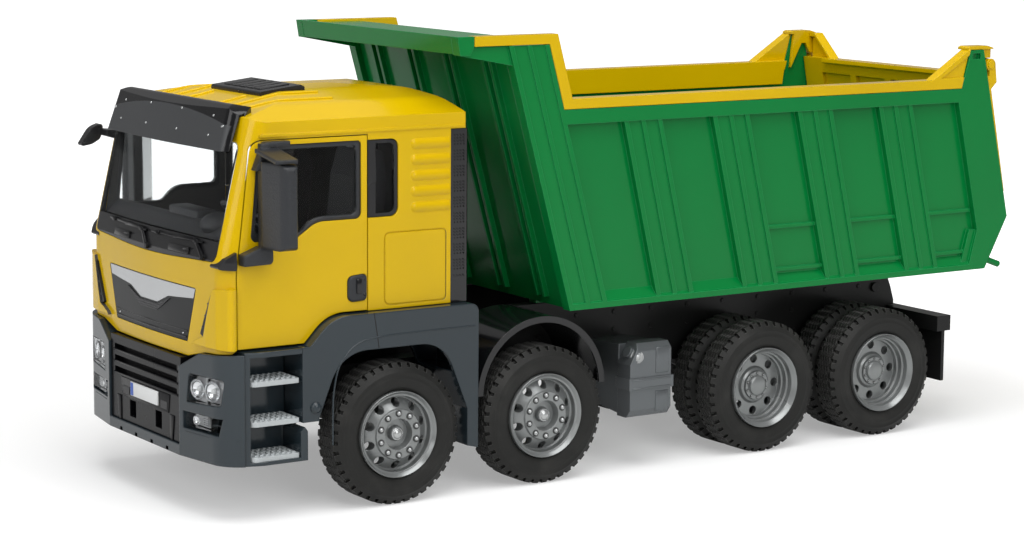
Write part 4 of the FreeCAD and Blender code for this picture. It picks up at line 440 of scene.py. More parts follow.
def dome(bm, centre, direction, radius, height, segments=16):
    """A rounded button that stands on a surface; its other half is inside."""
    place = Matrix.Translation(Vector(centre) * MM) @ facing(direction)
    shape = Matrix.Diagonal((radius * MM, radius * MM, height * MM, 1))
    return bmesh.ops.create_uvsphere(bm, u_segments=segments, v_segments=segments // 2, radius=1.0,
                                     matrix=place @ shape)["verts"]


def stud(bm, spot, turn, base, tip, height):
    """A four-sided block that narrows from its base to its tip."""
    bmesh.ops.create_cone(bm, cap_ends=True, segments=4, radius1=base * MM, radius2=tip * MM,
                          depth=height * MM, matrix=Matrix.Translation(Vector(spot) * MM) @ turn)


def slab(bm, plane, corners, low, high, soft=0.0, segments=2):
    """An outline of a few corners in a plane, extruded across it from low to high."""
    across, over, through = {"xz": (0, 2, 1), "yz": (1, 2, 0), "xy": (0, 1, 2)}[plane]
    verts = []
    for first, second in corners:
        spot = Vector((0, 0, 0))
        spot[across], spot[over], spot[through] = first * MM, second * MM, low * MM
        verts.append(bm.verts.new(spot))
    grown = bmesh.ops.extrude_face_region(bm, geom=[bm.faces.new(verts)])["geom"]
    moved = [item for item in grown if isinstance(item, bmesh.types.BMVert)]
    shift = Vector((0, 0, 0))
    shift[through] = (high - low) * MM
    bmesh.ops.translate(bm, vec=shift, verts=moved)
    soften(bm, verts + moved, soft, segments)


def strip(bm, start, end, width, height, outward, soft=0.0, sink=0.0):
    """A bar of rectangular section from one place to another, its back lying on a surface."""
    start, end = Vector(start) * MM, Vector(end) * MM
    along = (end - start).normalized()
    side = Vector(outward).cross(along).normalized()
    out = along.cross(side)
    turn = Matrix((along, side, out)).transposed().to_4x4()
    place = Matrix.Translation((start + end) / 2 + out * ((height / 2 - sink) * MM)) @ turn
    shape = Matrix.Diagonal(((end - start).length, width * MM, height * MM, 1))
    made = bmesh.ops.create_cube(bm, size=1.0, matrix=place @ shape)["verts"]
    soften(bm, made, soft)


def other_side(bm):
    """Repeat everything so far on the other side of the truck."""
    copy = bmesh.ops.duplicate(bm, geom=bm.verts[:] + bm.edges[:] + bm.faces[:])["geom"]
    verts = [item for item in copy if isinstance(item, bmesh.types.BMVert)]
    bmesh.ops.scale(bm, vec=(1, -1, 1), verts=verts)


def land(node, start, aim):
    """Where a straight line first meets a CAD node, in millimetres, and how its surface faces there."""
    hit, spot, normal, _ = nodes[node].ray_cast(Vector(start) * MM, Vector(aim).normalized())
    if not hit:
        raise ValueError(f"nothing of {node} lies that way")
    return spot / MM, normal


AHEAD_OF_ALL, ABOVE_ALL = 260, 230


def from_front(node, y, z):
    """Where a line that runs straight back meets a node."""
    return land(node, (AHEAD_OF_ALL, y, z), (-1, 0, 0))


def from_above(node, x, y):
    """Where a plumb line meets a node."""
    return land(node, (x, y, ABOVE_ALL), (0, 0, -1))


# %% [markdown]
# A finished piece is one mesh object on one body, made of one of the finishes.
# Thin lines such as ridges start as a curve with a round section and become meshes too.

# %% From bmesh to piece
made_pieces = []


def finished(name, bm, finish, body="chassis", sharp=35):
    """Turn a bmesh into a piece: faces outwards, shaded smooth up to an angle, on its body."""
    bmesh.ops.remove_doubles(bm, verts=bm.verts, dist=2e-6)
    bmesh.ops.recalc_face_normals(bm, faces=bm.faces)
    mesh = bpy.data.meshes.new(name)
    bm.to_mesh(mesh)
    bm.free()
    mesh.shade_smooth()
    mesh.set_sharp_from_angle(angle=math.radians(sharp))
    mesh.materials.append(FINISHES[finish])
    piece = bpy.data.objects.new(name, mesh)
    bpy.context.scene.collection.objects.link(piece)
    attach(piece, body)
    made_pieces.append((name, len(mesh.polygons)))
    return piece


def bead(name, points, radius, slot):
    """A thin raised line of the plastic it lies on, through a few places, on both sides of the truck."""
    line = bpy.data.curves.new(name + "_line", "CURVE")
    line.dimensions = "3D"
    line.bevel_depth = radius * MM
    line.bevel_resolution = 2
    line.use_fill_caps = True
    spline = line.splines.new("NURBS")
    spline.points.add(len(points) - 1)
    for point, place in zip(spline.points, points):
        point.co = (*(Vector(place) * MM), 1.0)
    spline.order_u = 3
    spline.use_endpoint_u = True
    spline.resolution_u = 8
    holder = bpy.data.objects.new(name + "_line", line)
    shape = bpy.data.meshes.new_from_object(holder)
    bm = bmesh.new()
    bm.from_mesh(shape)
    bpy.data.objects.remove(holder)
    bpy.data.curves.remove(line)
    bpy.data.meshes.remove(shape)
    other_side(bm)
    return finished(name, bm, slot)


print("piece helpers ready")

# %% [markdown]
# ## Tyres
# Each tyre is soft black rubber: a smooth side wall with faint rings, a row of notched lugs on each
# shoulder, and waved ribs with a short slot in every pitch.  A profile spun about the axle gives the body.
# The spin is fine enough that notches and slots are single faces of it, pushed in, and the ribs wave when
# each ring of points is moved a little along the axle.

# %% Spin a tyre
TYRE_RADIUS, TYRE_SEAT = 33.45, 20.6
PITCHES, STEPS_A_PITCH = 42, 5
STEPS = PITCHES * STEPS_A_PITCH
WAVE = (-0.45, -0.10, 0.38, 0.45, 0.08)
SHOULDER, LUG, GROOVE, GROOVE_DEPTH = 2.8, 1.7, 0.5, 0.9
SLOT_STEPS, NOTCH_STEPS = (1, 2), (3, 4)
NOTCH_FROM, SLOT_HALF = 31.5, 0.45
SIDE_WALL = [
    # radius, how far in from the outer face
    (TYRE_SEAT, -1.6), (21.4, -0.9), (22.8, -0.35), (24.4, -0.05), (25.6, 0.0), (26.0, 0.14), (26.5, 0.14),
    (26.9, -0.03), (28.6, -0.2), (28.9, -0.05), (29.3, -0.08), (29.6, -0.35), (30.5, -0.9), (31.5, -1.5),
]


def tread_edges(width, ribs):
    """y of every line round the tread, from the outer shoulder inwards, and which columns get slots."""
    lines, slots = [-SHOULDER, -SHOULDER - LUG], []
    rib = (width - 2 * SHOULDER - 2 * LUG - (ribs + 1) * GROOVE) / ribs
    for _ in range(ribs):
        start = lines[-1] - GROOVE
        lines += [start, start - rib * 0.32, start - rib * 0.68, start - rib]
        slots.append(start - rib * 0.5)
    lines += [lines[-1] - GROOVE, SHOULDER - width]
    return lines, slots


def tyre_mesh(bm, width, ribs, shift):
    """One tyre about the Y axis, its outer face at y = shift; gives where slots and lugs go."""
    lines, slots = tread_edges(width, ribs)
    profile = list(SIDE_WALL)
    deep = TYRE_RADIUS - GROOVE_DEPTH
    for number, y in enumerate(lines):
        groove_starts = number % 4 == 1
        groove_ends = number % 4 == 2
        if groove_ends:
            profile.append((deep, y + 0.1))
        profile.append((TYRE_RADIUS, y))
        if groove_starts:
            profile.append((deep, y - 0.1))
    profile += [(r, -width - y) for r, y in reversed(SIDE_WALL)]
    verts = [bm.verts.new(Vector((r, y + shift, 0)) * MM) for r, y in profile]
    edges = [bm.edges.new(pair) for pair in zip(verts, verts[1:] + verts[:1])]
    bmesh.ops.spin(bm, geom=verts + edges, cent=(0, 0, 0), axis=(0, 1, 0), dvec=(0, 0, 0),
                   angle=math.tau, steps=STEPS, use_merge=True, use_duplicate=False)
    return [y + shift for y in slots], (shift - SHOULDER - LUG, shift - width + SHOULDER + LUG)


def step_of(spot):
    """Which step of the spin a place is in."""
    return math.atan2(spot.z, spot.x) / math.tau * STEPS % STEPS


def cut_tread(bm, slots, lugs):
    """Wave the ribs, then push in the slots and the notches of the shoulders."""
    tread = [v for v in bm.verts if math.hypot(v.co.x, v.co.z) > (TYRE_RADIUS - 1.0) * MM
             and lugs[1] - 0.3 < v.co.y / MM < lugs[0] + 0.3]
    for phase, wave in enumerate(WAVE):
        ring = [v for v in tread if round(step_of(v.co)) % STEPS_A_PITCH == phase]
        bmesh.ops.translate(bm, vec=(0, wave * MM, 0), verts=ring)
    sunk, notched = [], []
    for face in bm.faces:
        spot = face.calc_center_median()
        radius, y, phase = math.hypot(spot.x, spot.z) / MM, spot.y / MM, int(step_of(spot)) % STEPS_A_PITCH
        on_a_rib = radius > TYRE_RADIUS - 0.3 and any(abs(y - s) < SLOT_HALF for s in slots)
        if on_a_rib and phase in SLOT_STEPS:
            sunk.append(face)
        on_a_lug = radius > NOTCH_FROM and (y > lugs[0] + 0.2 or y < lugs[1] - 0.2)
        if on_a_lug and phase in NOTCH_STEPS:
            notched.append(face)
    for faces, radial, inward in ((sunk, 0.975, 0.0), (notched, 0.955, 1.0)):
        grown = bmesh.ops.extrude_face_region(bm, geom=faces)["geom"]
        moved = [item for item in grown if isinstance(item, bmesh.types.BMVert)]
        bmesh.ops.scale(bm, vec=(radial, 1, radial), verts=moved)
        middle = (lugs[0] + lugs[1]) / 2 * MM
        for way in (1, -1):
            side = [v for v in moved if (v.co.y - middle) * way > 0]
            bmesh.ops.translate(bm, vec=(0, -way * inward * MM, 0), verts=side)
        bmesh.ops.delete(bm, geom=faces, context="FACES")


print("steps round a tyre", STEPS)

# %% [markdown]
# The two front axles carry single tyres and the two rear ones twins.  One mesh of each kind is made and
# copied to its wheels, where it stands in for the plain tyres of the frame and turns with the wheel.

# %% Fit the tyres
WHEEL_OUTER, AXLE_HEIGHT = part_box("tyre_one_left")[1][1] / MM, 33.5
AXLES = [
    # name, x, twin tyres
    ("one", 142.5, False),
    ("two", 60.5, False),
    ("three", -73.5, True),
    ("four", -151.5, True),
]
SINGLE_WIDTH, TWIN_WIDTH, TWIN_GAP = 20.0, 17.6, 2.6


def tyre_set(twin):
    """The tyres of one wheel, about the Y axis with the wheel's outer face at y = 0."""
    whole = bmesh.new()
    for number in range(2 if twin else 1):
        one = bmesh.new()
        width = TWIN_WIDTH if twin else SINGLE_WIDTH
        slots, lugs = tyre_mesh(one, width, 4 if twin else 5, -number * (TWIN_WIDTH + TWIN_GAP))
        cut_tread(one, slots, lugs)
        holder = bpy.data.meshes.new("tyre_holder")
        one.to_mesh(holder)
        one.free()
        whole.from_mesh(holder)
        bpy.data.meshes.remove(holder)
    return whole


def wheel_place(x, side):
    """Matrix from a wheel's own frame to its place on the truck."""
    turn = Matrix.Rotation(0 if side == "left" else math.pi, 4, "Z")
    y = WHEEL_OUTER if side == "left" else -WHEEL_OUTER
    return Matrix.Translation(Vector((x, y, AXLE_HEIGHT)) * MM) @ turn


for twin in (False, True):
    pattern = tyre_set(twin)
    for axle, x, has_twin in AXLES:
        if has_twin != twin:
            continue
        for side in ("left", "right"):
            bm = pattern.copy()
            bmesh.ops.transform(bm, matrix=wheel_place(x, side), verts=bm.verts)
            node = f"tyres_{axle}_{side}" if twin else f"tyre_{axle}_{side}"
            body = f"wheel_{axle}_{side}"
            tyre = finished(f"treaded_{node}", bm, "tyre_black", body, sharp=40)
            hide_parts(node)
    pattern.free()
print("tyres", made_pieces[-1])

# %% [markdown]
# ## Wheel nuts and hub caps
# The front rims carry ten domed nuts on a flat ring and a small dome on a disc in the middle.  The rear rims
# carry a wide flat cap with ten small bolts round it.  A nut is a sphere flattened onto the rim and repeated
# by a turn.  Under every nut lies a dark disc a little wider than it: painted shade round the nut.

# %% Bolt the wheels
NUTS = 10
REAR_NUTS = {"circle": 6.3, "y": -7.1, "radius": 0.5, "height": 0.6}
FRONT_NUTS = {"circle": 9.9, "y": -0.15, "radius": 1.15, "height": 1.25}


def nut_ring(bm, shade_discs, circle, y, radius, height):
    """Domed nuts in a ring about the Y axis, each on a dark disc of painted shade."""
    for number in range(NUTS):
        turn = math.tau * (number + 0.5) / NUTS
        x, z = circle * math.cos(turn), circle * math.sin(turn)
        # A dark disc of painted shade under the nut.
        bar(shade_discs, (x, y - 0.5, z), (x, y + 0.12, z), radius * 1.45, segments=14)
        dome(bm, (x, y, z), (0, 1, 0), radius, height, segments=12)


for axle, x, twin in AXLES:
    for side in ("left", "right"):
        bm, shade_discs = bmesh.new(), bmesh.new()
        nut_ring(bm, shade_discs, **(REAR_NUTS if twin else FRONT_NUTS))
        if not twin:
            dome(bm, (0, -1.65, 0), (0, 1, 0), 2.5, 1.5, segments=24)
            bar(bm, (0, -2.0, 0), (0, -1.4, 0), 3.1, 2.9, segments=24)
        for piece, mesh, finish in (("nuts", bm, "nut_silver"), ("nut_shade_discs", shade_discs, "nut_shade_grey")):
            bmesh.ops.transform(mesh, matrix=wheel_place(x, side), verts=mesh.verts)
            finished(f"{piece}_{axle}_{side}", mesh, finish, f"wheel_{axle}_{side}")
        if twin:
            cap = bmesh.new()
            dome(cap, (0, -6.35, 0), (0, 1, 0), 5.2, 1.2, segments=32)
            bmesh.ops.transform(cap, matrix=wheel_place(x, side), verts=cap.verts)
            finished(f"hub_cap_{axle}_{side}", cap, "rim_grey", f"wheel_{axle}_{side}")
print("nuts", made_pieces[-1])

# %% [markdown]
# ## Sun visor
# The visor is a dark hood with a satin face inside a glossy border, which arches across it.  Both are one
# moulding, so the border is drawn in the material from the place on the hood, with no edge in the mesh.

# %% Paint the sun visor
BORDER_HEIGHT, BORDER_ARCH, BORDER_FROM, BORDER_BLUR = 0.1847, 1.6, 0.0605, 0.0002
GLOSS_COLOUR, GLOSS_ROUGH = (0.006, 0.006, 0.007, 1), 0.12


def two_tone_visor():
    """Glossy border over a satin face: the line between them arches across the hood."""
    made = plastic("visor_plastic", (0.050, 0.052, 0.055), 0.42, shine=0.3, grain=0.08)
    tree = made.node_tree
    place = linked(tree, "ShaderNodeSeparateXYZ", Vector=object_spot(tree))
    across = math_node(tree, "MULTIPLY", place.outputs["Y"], place.outputs["Y"])
    line = math_node(tree, "SUBTRACT", BORDER_HEIGHT, math_node(tree, "MULTIPLY", across, BORDER_ARCH))
    over = math_node(tree, "SUBTRACT", place.outputs["Z"], line)
    beside = math_node(tree, "SUBTRACT", math_node(tree, "ABSOLUTE", place.outputs["Y"]), BORDER_FROM)
    border = spread(tree, math_node(tree, "MAXIMUM", over, beside), -BORDER_BLUR, BORDER_BLUR, 0.0, 1.0)
    for name, kind, glossy in (("Base Color", "RGBA", GLOSS_COLOUR), ("Roughness", "VALUE", GLOSS_ROUGH)):
        slot = principled(made).inputs[name]
        tree.links.new(blend(tree, border, slot.links[0].from_socket, glossy, kind), slot)
    return made


nodes["sun_visor"].data.materials[0] = two_tone_visor()
print("visor painted")

# %% [markdown]
# Small studs sit on the visor's face in two rows, with two more near each end.  Each is set down where a
# line from the front meets the hood, so it stands square on the bowed face.

# %% Stud the sun visor
STUDS = [
    # y, z
    (16.3, 174.3), (46.3, 173.9), (16.4, 183.6), (46.4, 182.6),
]
bm = bmesh.new()
for y, z in STUDS:
    spot, out = from_front("sun_visor", y, z)
    dome(bm, spot, out, 0.6, 0.5, segments=14)
spot, out = land("sun_visor", (AHEAD_OF_ALL, 60.6, 178.6), (-1, -0.1, 0))
end, _ = from_front("sun_visor", 56.0, 178.4)
for reach in (0.25, 1.6):
    dome(bm, end + (spot - end) * reach, out, 0.6, 0.5, segments=12)
other_side(bm)
finished("visor_studs", bm, "nut_silver")
print("visor", made_pieces[-1])

# %% [markdown]
# Three black tabs run back from the visor onto the roof.

# %% Hook the sun visor on
bm = bmesh.new()
for y in (-30.0, 4.0, 37.5):
    spot, _ = from_above("cab_shell", 207.4, y)
    back, _ = from_above("cab_shell", 202.6, y + 1.2)
    slab(bm, "xy", [(209.5, y - 3.6), (209.5, y + 3.0), (202.6, y + 1.6), (206.0, y - 1.8)],
         min(spot.z, back.z) - 0.6, spot.z + 0.5, soft=0.2)
finished("visor_tabs", bm, "gloss_black")
print("tabs", made_pieces[-1])

# %% [markdown]
# ## Roof
# Low ridges run back over the roof beside the hatch; the one nearest the middle stops before it.  A ridge
# is a thin bead laid over places where plumb lines meet the roof, so it follows the crown.  The hatch lid
# has five flat bars.

# %% Lay the roof ridges
RIDGE_PLACES = (158, 168, 178, 188, 198, 205)
HATCH_FRONT = 186
for number, y in enumerate((16.5, 31.0, 45.0)):
    places = [from_above("cab_shell", x, y)[0] + Vector((0, 0, 0.15)) for x in RIDGE_PLACES]
    if number == 0:
        places = [place for place in places if place.x > HATCH_FRONT]
    bead(f"roof_ridge_{number}", places, 0.7, "body_yellow")

bm = bmesh.new()
for y in (-15.5, -7.8, 0.0, 7.8, 15.5):
    front, out = from_above("roof_hatch", 181.5, y)
    back, _ = from_above("roof_hatch", 166.0, y)
    strip(bm, back, front, 5.8, 0.5, out, soft=0.2, sink=0.1)
finished("hatch_bars", bm, "trim_black")
print("roof", made_pieces[-1])

# %% [markdown]
# ## Wipers
# The apron under the windscreen carries two wipers.  Each has a short thick arm that rises from a boss and a
# long blade on three clips, which lies across the top of the apron.  Beside the arms are two low pads.

# %% Mount the wipers
bm = bmesh.new()
WIPERS = [
    # arm foot (y, z), arm head (y, z), blade ends (y, z)
    ((-0.6, 118.6), (-8.0, 126.2), (-46.0, 126.6), (-3.0, 125.6)),
    ((53.4, 119.6), (44.6, 126.6), (3.0, 125.6), (51.5, 126.0)),
]
for foot, head, blade_start, blade_end in WIPERS:
    foot_at, out = from_front("cab_trim", *foot)
    head_at = from_front("cab_trim", *head)[0]
    bar(bm, foot_at - out * 0.5, foot_at + out * 1.4, 1.7, 1.4)
    strip(bm, foot_at, head_at, 2.3, 1.5, out, soft=0.5)
    start, end = (from_front("cab_trim", *place)[0] for place in (blade_start, blade_end))
    strip(bm, start, end, 1.1, 1.3, out, soft=0.3, sink=-0.2)
    strip(bm, head_at + out * 1.0, start + (end - start) * 0.5 + out * 1.0, 1.6, 1.0, out, soft=0.3)
    clip_half = Vector((0, 1.6, 0))
    for share in (0.12, 0.5, 0.88):
        place = start + (end - start) * share
        strip(bm, place - clip_half, place + clip_half, 1.9, 1.9, out, soft=0.3, sink=-0.1)
finished("wipers", bm, "bumper_black")

bm = bmesh.new()
PAD_Z = 120.9
for low_y, high_y in ((-39.0, -21.0), (21.0, 40.0)):
    out = from_front("cab_trim", (low_y + high_y) / 2, PAD_Z)[1]
    low, high = (from_front("cab_trim", y, PAD_Z)[0] for y in (low_y, high_y))
    strip(bm, low, high, 3.4, 0.8, out, soft=0.35)
    strip(bm, high - Vector((0, 4.5, -0.4)), high + Vector((0, 0.5, 1.2)), 0.7, 1.4, out, soft=0.2)
finished("apron_pads", bm, "trim_black")
print("wipers", made_pieces[-2:])

# %% [markdown]
# ## Front grille
# The grille field is bare.  Along its foot run two raised lines with a bright little clip near each end, and
# under the silver wing lies a patch of fine mesh.  The mesh is a pattern in the plastic, because its holes
# are smaller than a face is worth; the holes are painted darker than the bars between them, as painted shade.

# %% Finish the grille
def mesh_pattern(name, colour, pitch, depth):
    """Black plastic with rows of small sunk holes, on Object coordinates; the holes carry painted shade."""
    made = plastic(name, colour, 0.4, shine=0.3)
    tree, bsdf = made.node_tree, principled(made)
    holes = linked(tree, "ShaderNodeTexVoronoi", Vector=object_spot(tree), Scale=1.0 / pitch, Randomness=0.0)
    sunk = spread(tree, holes.outputs["Distance"], 0.25, 0.45, 0.0, 1.0)
    bump = linked(tree, "ShaderNodeBump", Strength=1.0, Distance=depth, Height=sunk)
    tree.links.new(bump.outputs["Normal"], bsdf.inputs["Normal"])
    # Painted shade: the holes are painted much darker than the bars between them, and the bars a little
    # lighter.
    shade = tree.nodes.new("ShaderNodeValToRGB")
    shade.color_ramp.elements[0].color = tuple(c * 0.25 for c in colour) + (1,)
    shade.color_ramp.elements[1].color = tuple(c * 1.3 for c in colour) + (1,)
    tree.links.new(sunk, shade.inputs["Fac"])
    tree.links.new(shade.outputs["Color"], bsdf.inputs["Base Color"])
    return made


FINISHES["fine_mesh"] = mesh_pattern("fine_mesh_plastic", (0.030, 0.030, 0.032), 0.0011, 0.0004)

bm = bmesh.new()
face_x = from_front("front_grille", 0, 90.5)[0].x
MESH_PATCH = [(-22.5, 96.8), (-9.6, 92.6), (9.6, 92.6), (22.5, 96.8), (12, 91.0), (8.4, 89.4), (-8.4, 89.4),
              (-12, 91.0)]
slab(bm, "yz", MESH_PATCH, face_x - 1.5, face_x + 0.25)
finished("grille_mesh", bm, "fine_mesh")

bm = bmesh.new()
for low_z, high_z, half, proud in ((80.6, 81.3, 37.2, 0.45), (83.6, 84.1, 38.4, 0.3)):
    for way in (-1, 1):
        middle, end = (from_front("front_grille", way * y, (low_z + high_z) / 2) for y in (0, half))
        strip(bm, middle[0], end[0], high_z - low_z, proud, end[1])
finished("grille_ledge", bm, "trim_black")

bm = bmesh.new()
for y in (-34.0, 34.0):
    spot, out = from_front("front_grille", y, 82.4)
    dome(bm, spot, out, 0.55, 0.4, segments=12)
finished("grille_clips", bm, "chrome")
print("grille", made_pieces[-3:])

# %% [markdown]
# ## Corner vents
# A narrow black vent with small ribs runs down each front corner, beside the panel that carries the grille.
# It is a chain of short strips whose ends lie where lines from the front meet the corner, so that it
# follows the curve, and it widens towards its foot.

# %% Cut the corner vents
VENT_TOP, VENT_FOOT = Vector((62.0, 103.2)), Vector((53.2, 84.2))
VENT_STRIPS = 10


def vent_place(number):
    """A joint between two strips of the vent, counted from its top."""
    return from_front("front_grille", *VENT_TOP.lerp(VENT_FOOT, number / VENT_STRIPS))


bm = bmesh.new()
vent_ribs = bmesh.new()
for number in range(VENT_STRIPS):
    (top, out), (low, _) = vent_place(number), vent_place(number + 1)
    strip(bm, top, low, 1.5 + 0.17 * number, 2.3, out)
    if number % 3 == 1:
        strip(vent_ribs, low - Vector((0, 1.2, 0)), low + Vector((0, 1.2, 0)), 0.7, 2.6, out)
other_side(bm)
other_side(vent_ribs)
finished("corner_vents", bm, "frame_black")
finished("vent_ribs", vent_ribs, "trim_black")
print("vents", made_pieces[-2:])

# %% [markdown]
# ## Bumper
# The black middle of the bumper has a shelf between two cheeks under three thin bars.  The shelf carries
# mesh on both sides of the number plate, which stays blank.  Little notches mark the lower lip, and a fine
# step line runs round each corner.

# %% Build up the bumper
def oblong(bm, low_y, high_y, low_z, high_z, low_x, high_x, soft=0.0):
    """A plate that faces the front."""
    corners = [(low_y, low_z), (high_y, low_z), (high_y, high_z), (low_y, high_z)]
    slab(bm, "yz", corners, low_x, high_x, soft=soft)


grille_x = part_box("bumper_grille")[1][0] / MM
back, proud = grille_x - 0.4, grille_x + 0.5
bm = bmesh.new()
slab(bm, "yz", [(-25, 43.6), (25, 43.6), (26.5, 52.6), (-26.5, 52.6)], back, grille_x + 0.35, soft=0.2)
for way in (-1, 1):
    cheek = [(way * 31, 43.4), (way * 26.6, 43.4), (way * 26.6, 30.4), (way * 29, 30.4)]
    slab(bm, "yz", cheek, back, proud, soft=0.2)
for z in (53.1, 58.6, 64.1):
    oblong(bm, -35, 35, z, z + 1.0, grille_x - 1.8, proud, soft=0.3)
finished("plate_shelf", bm, "bumper_black")

bm = bmesh.new()
for way in (-1, 1):
    patch = [(way * 17.0, 45.0), (way * 23.5, 45.0), (way * 24.0, 48.6), (way * 17.0, 48.6)]
    slab(bm, "yz", patch, grille_x - 0.3, proud)
finished("shelf_mesh", bm, "fine_mesh")

bm = bmesh.new()
oblong(bm, -14.7, 14.7, 45.4, 52.0, grille_x + 0.2, grille_x + 1.0, soft=0.15)
finished("number_plate", bm, "plate_white")
bm = bmesh.new()
oblong(bm, -14.4, -11.4, 45.7, 51.7, grille_x + 0.6, grille_x + 1.05)
finished("plate_band", bm, "plate_blue")

bm = bmesh.new()
bumper_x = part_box("front_bumper")[1][0] / MM
for y in (-25.0, -8.5, 8.5, 25.0):
    oblong(bm, y - 1.3, y + 1.3, 26.6, 28.4, bumper_x - 1.6, bumper_x)
finished("lip_notches", bm, "frame_black")

STEP_Z = 38.6
places = [from_front("front_bumper", y, STEP_Z)[0] for y in (43, 52, 60, 67, 72, 75)]
places.append(land("front_bumper", (222.5, 120, STEP_Z), (0, -1, 0))[0])
places = [place + Vector((-0.15, -0.1, 0)) for place in places]
bead("bumper_step", places, 0.35, "guard_blue_grey")
print("bumper", made_pieces[-6:])

# %% [markdown]
# ## Headlamps
# Behind each clear lens sit two plated bowls before a stepped back plate; the fog lamp has one small bowl
# beside a ribbed plate.  A bowl is a sphere cut in half by a plane and given a wall, and a bulb stands in it.

# %% Put reflectors behind the lenses
def bowl(bm, centre, direction, radius):
    """Half a sphere, open along a direction, with a thin wall."""
    own = bmesh.new()
    bmesh.ops.create_uvsphere(own, u_segments=24, v_segments=16, radius=radius * MM)
    bmesh.ops.bisect_plane(own, geom=own.verts[:] + own.edges[:] + own.faces[:], dist=1e-7,
                           plane_co=(0, 0, 0), plane_no=(0, 0, 1), clear_outer=True)
    bmesh.ops.scale(own, vec=(1, 1, 0.55), verts=own.verts)
    bmesh.ops.solidify(own, geom=own.faces[:], thickness=0.25 * MM)
    place = Matrix.Translation(Vector(centre) * MM) @ facing(direction)
    bmesh.ops.transform(own, matrix=place, verts=own.verts)
    holder = bpy.data.meshes.new("bowl_holder")
    own.to_mesh(holder)
    own.free()
    bm.from_mesh(holder)
    bpy.data.meshes.remove(holder)


AHEAD = Vector((1.0, 0.35, 0.0))
bm = bmesh.new()
bowl(bm, (231.0, 50.6, 59.2), AHEAD, 4.6)
bowl(bm, (228.8, 61.0, 59.4), AHEAD, 4.8)
bowl(bm, (231.2, 50.0, 44.6), AHEAD, 2.3)
other_side(bm)
finished("lamp_reflectors", bm, "chrome")

bm = bmesh.new()
slab(bm, "yz", [(45.0, 53.4), (46.8, 65.0), (56.4, 65.0), (56.0, 53.4)], 227.6, 228.4)
slab(bm, "yz", [(56.0, 53.4), (56.4, 65.0), (70.0, 65.0), (68.2, 54.6)], 225.4, 226.2)
slab(bm, "yz", [(45.0, 42.0), (45.0, 47.2), (58.0, 47.2), (58.0, 42.0)], 227.2, 228.2)
for number in range(5):
    z = 42.6 + number * 0.95
    oblong(bm, 53, 58, z, z + 0.5, 228.0, 229.4)
other_side(bm)
finished("lamp_plates", bm, "wing_silver")

bm = bmesh.new()
for x, y, z, radius in ((229.6, 50.2, 59.2, 1.2), (227.2, 60.5, 59.4, 1.2), (230.0, 49.6, 44.6, 0.8)):
    dome(bm, (x, y, z), AHEAD, radius, radius * 1.3)
other_side(bm)
finished("lamp_bulbs", bm, "plate_white")
print("lamps", made_pieces[-3:])

# %% [markdown]
# ## Steps
# Each tread is covered with rows of small raised blocks, every other row a little forward.

# %% Stud the treads
TREAD_TOPS = (30.3, 46.5, 64.9)
ROWS, COLUMNS, ROW_PITCH, COLUMN_PITCH, STAGGER = 6, 8, 2.4, 2.75, 0.5
turned = Matrix.Rotation(math.radians(45), 4, "Z")
bm = bmesh.new()
tread_low, tread_high = (Vector(corner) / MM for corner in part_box("step_treads"))
for top in TREAD_TOPS:
    for row in range(ROWS):
        for column in range(COLUMNS):
            x = tread_low.x + 2.2 + column * COLUMN_PITCH + (row % 2) * STAGGER
            y = tread_high.y - 2.4 - row * ROW_PITCH
            if x > tread_high.x - 2.6:
                continue
            stud(bm, (x, y, top + 0.25), turned, 1.25, 0.85, 0.8)
other_side(bm)
finished("tread_studs", bm, "tread_grey", sharp=20)
print("treads", made_pieces[-1])

# %% [markdown]
# ## Mudguards
# A raised bead runs round each wheel opening and back along the flank, a parting line crosses the top,
# and a round reflector button sits low on the front leg.

# %% Line the mudguards
GUARD_Y = 77.85
BEAD_PLACES = [
    # x, z
    (176.5, 32), (176.5, 47), (176.0, 58), (173.0, 70), (164.0, 78.5), (152.0, 80.4), (136.0, 80.6),
    (100.0, 80.8),
]
bead("guard_bead", [(x, GUARD_Y, z) for x, z in BEAD_PLACES], 0.45, "guard_blue_grey")
bm = bmesh.new()
slab(bm, "xz", [(151.9, 74.8), (152.3, 74.8), (154.9, 91.4), (154.5, 91.4)], 77.6, 78.06)
other_side(bm)
finished("guard_joint", bm, "frame_black")
bm = bmesh.new()
bar(bm, (185.3, 77.0, 50.3), (185.3, 78.7, 50.3), 2.9, 2.7, segments=28)
dome(bm, (185.3, 78.6, 50.3), (0, 1, 0), 2.2, 1.4, segments=24)
other_side(bm)
finished("guard_buttons", bm, "guard_blue_grey")
print("guards", made_pieces[-3:])

# %% [markdown]
# ## Columns behind the cab
# Two tall black columns stand behind the cab corners.  Their outer faces carry groups of four rows: three
# rows of small slanted bars and one of little pyramids.

# %% Stud the columns
GROUPS, GROUP_PITCH, ROW_DROPS, BARE_FOOT = 11, 7.35, (0.0, 1.4, 2.8, 4.2), 12
STUD_PLACES = (102.6, 104.3, 106.0, 107.7)
bm = bmesh.new()
column_low, column_high = (Vector(corner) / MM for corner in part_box("rear_columns"))
face_y = column_high.y
for group in range(GROUPS):
    top = column_high.z - 3.0 - group * GROUP_PITCH
    for row, drop in enumerate(ROW_DROPS):
        z = top - drop
        if z < column_low.z + BARE_FOOT:
            continue
        for x in STUD_PLACES:
            if row < 3:
                ends = (x - 0.4, face_y, z - 0.35), (x + 0.4, face_y, z + 0.35)
                strip(bm, *ends, 0.45, 0.4, (0, 1, 0), sink=0.2)
            else:
                stud(bm, (x, face_y + 0.1, z), facing((0, 1, 0)), 0.5, 0.15, 0.6)
other_side(bm)
finished("column_studs", bm, "gloss_black", sharp=15)
print("columns", made_pieces[-1])

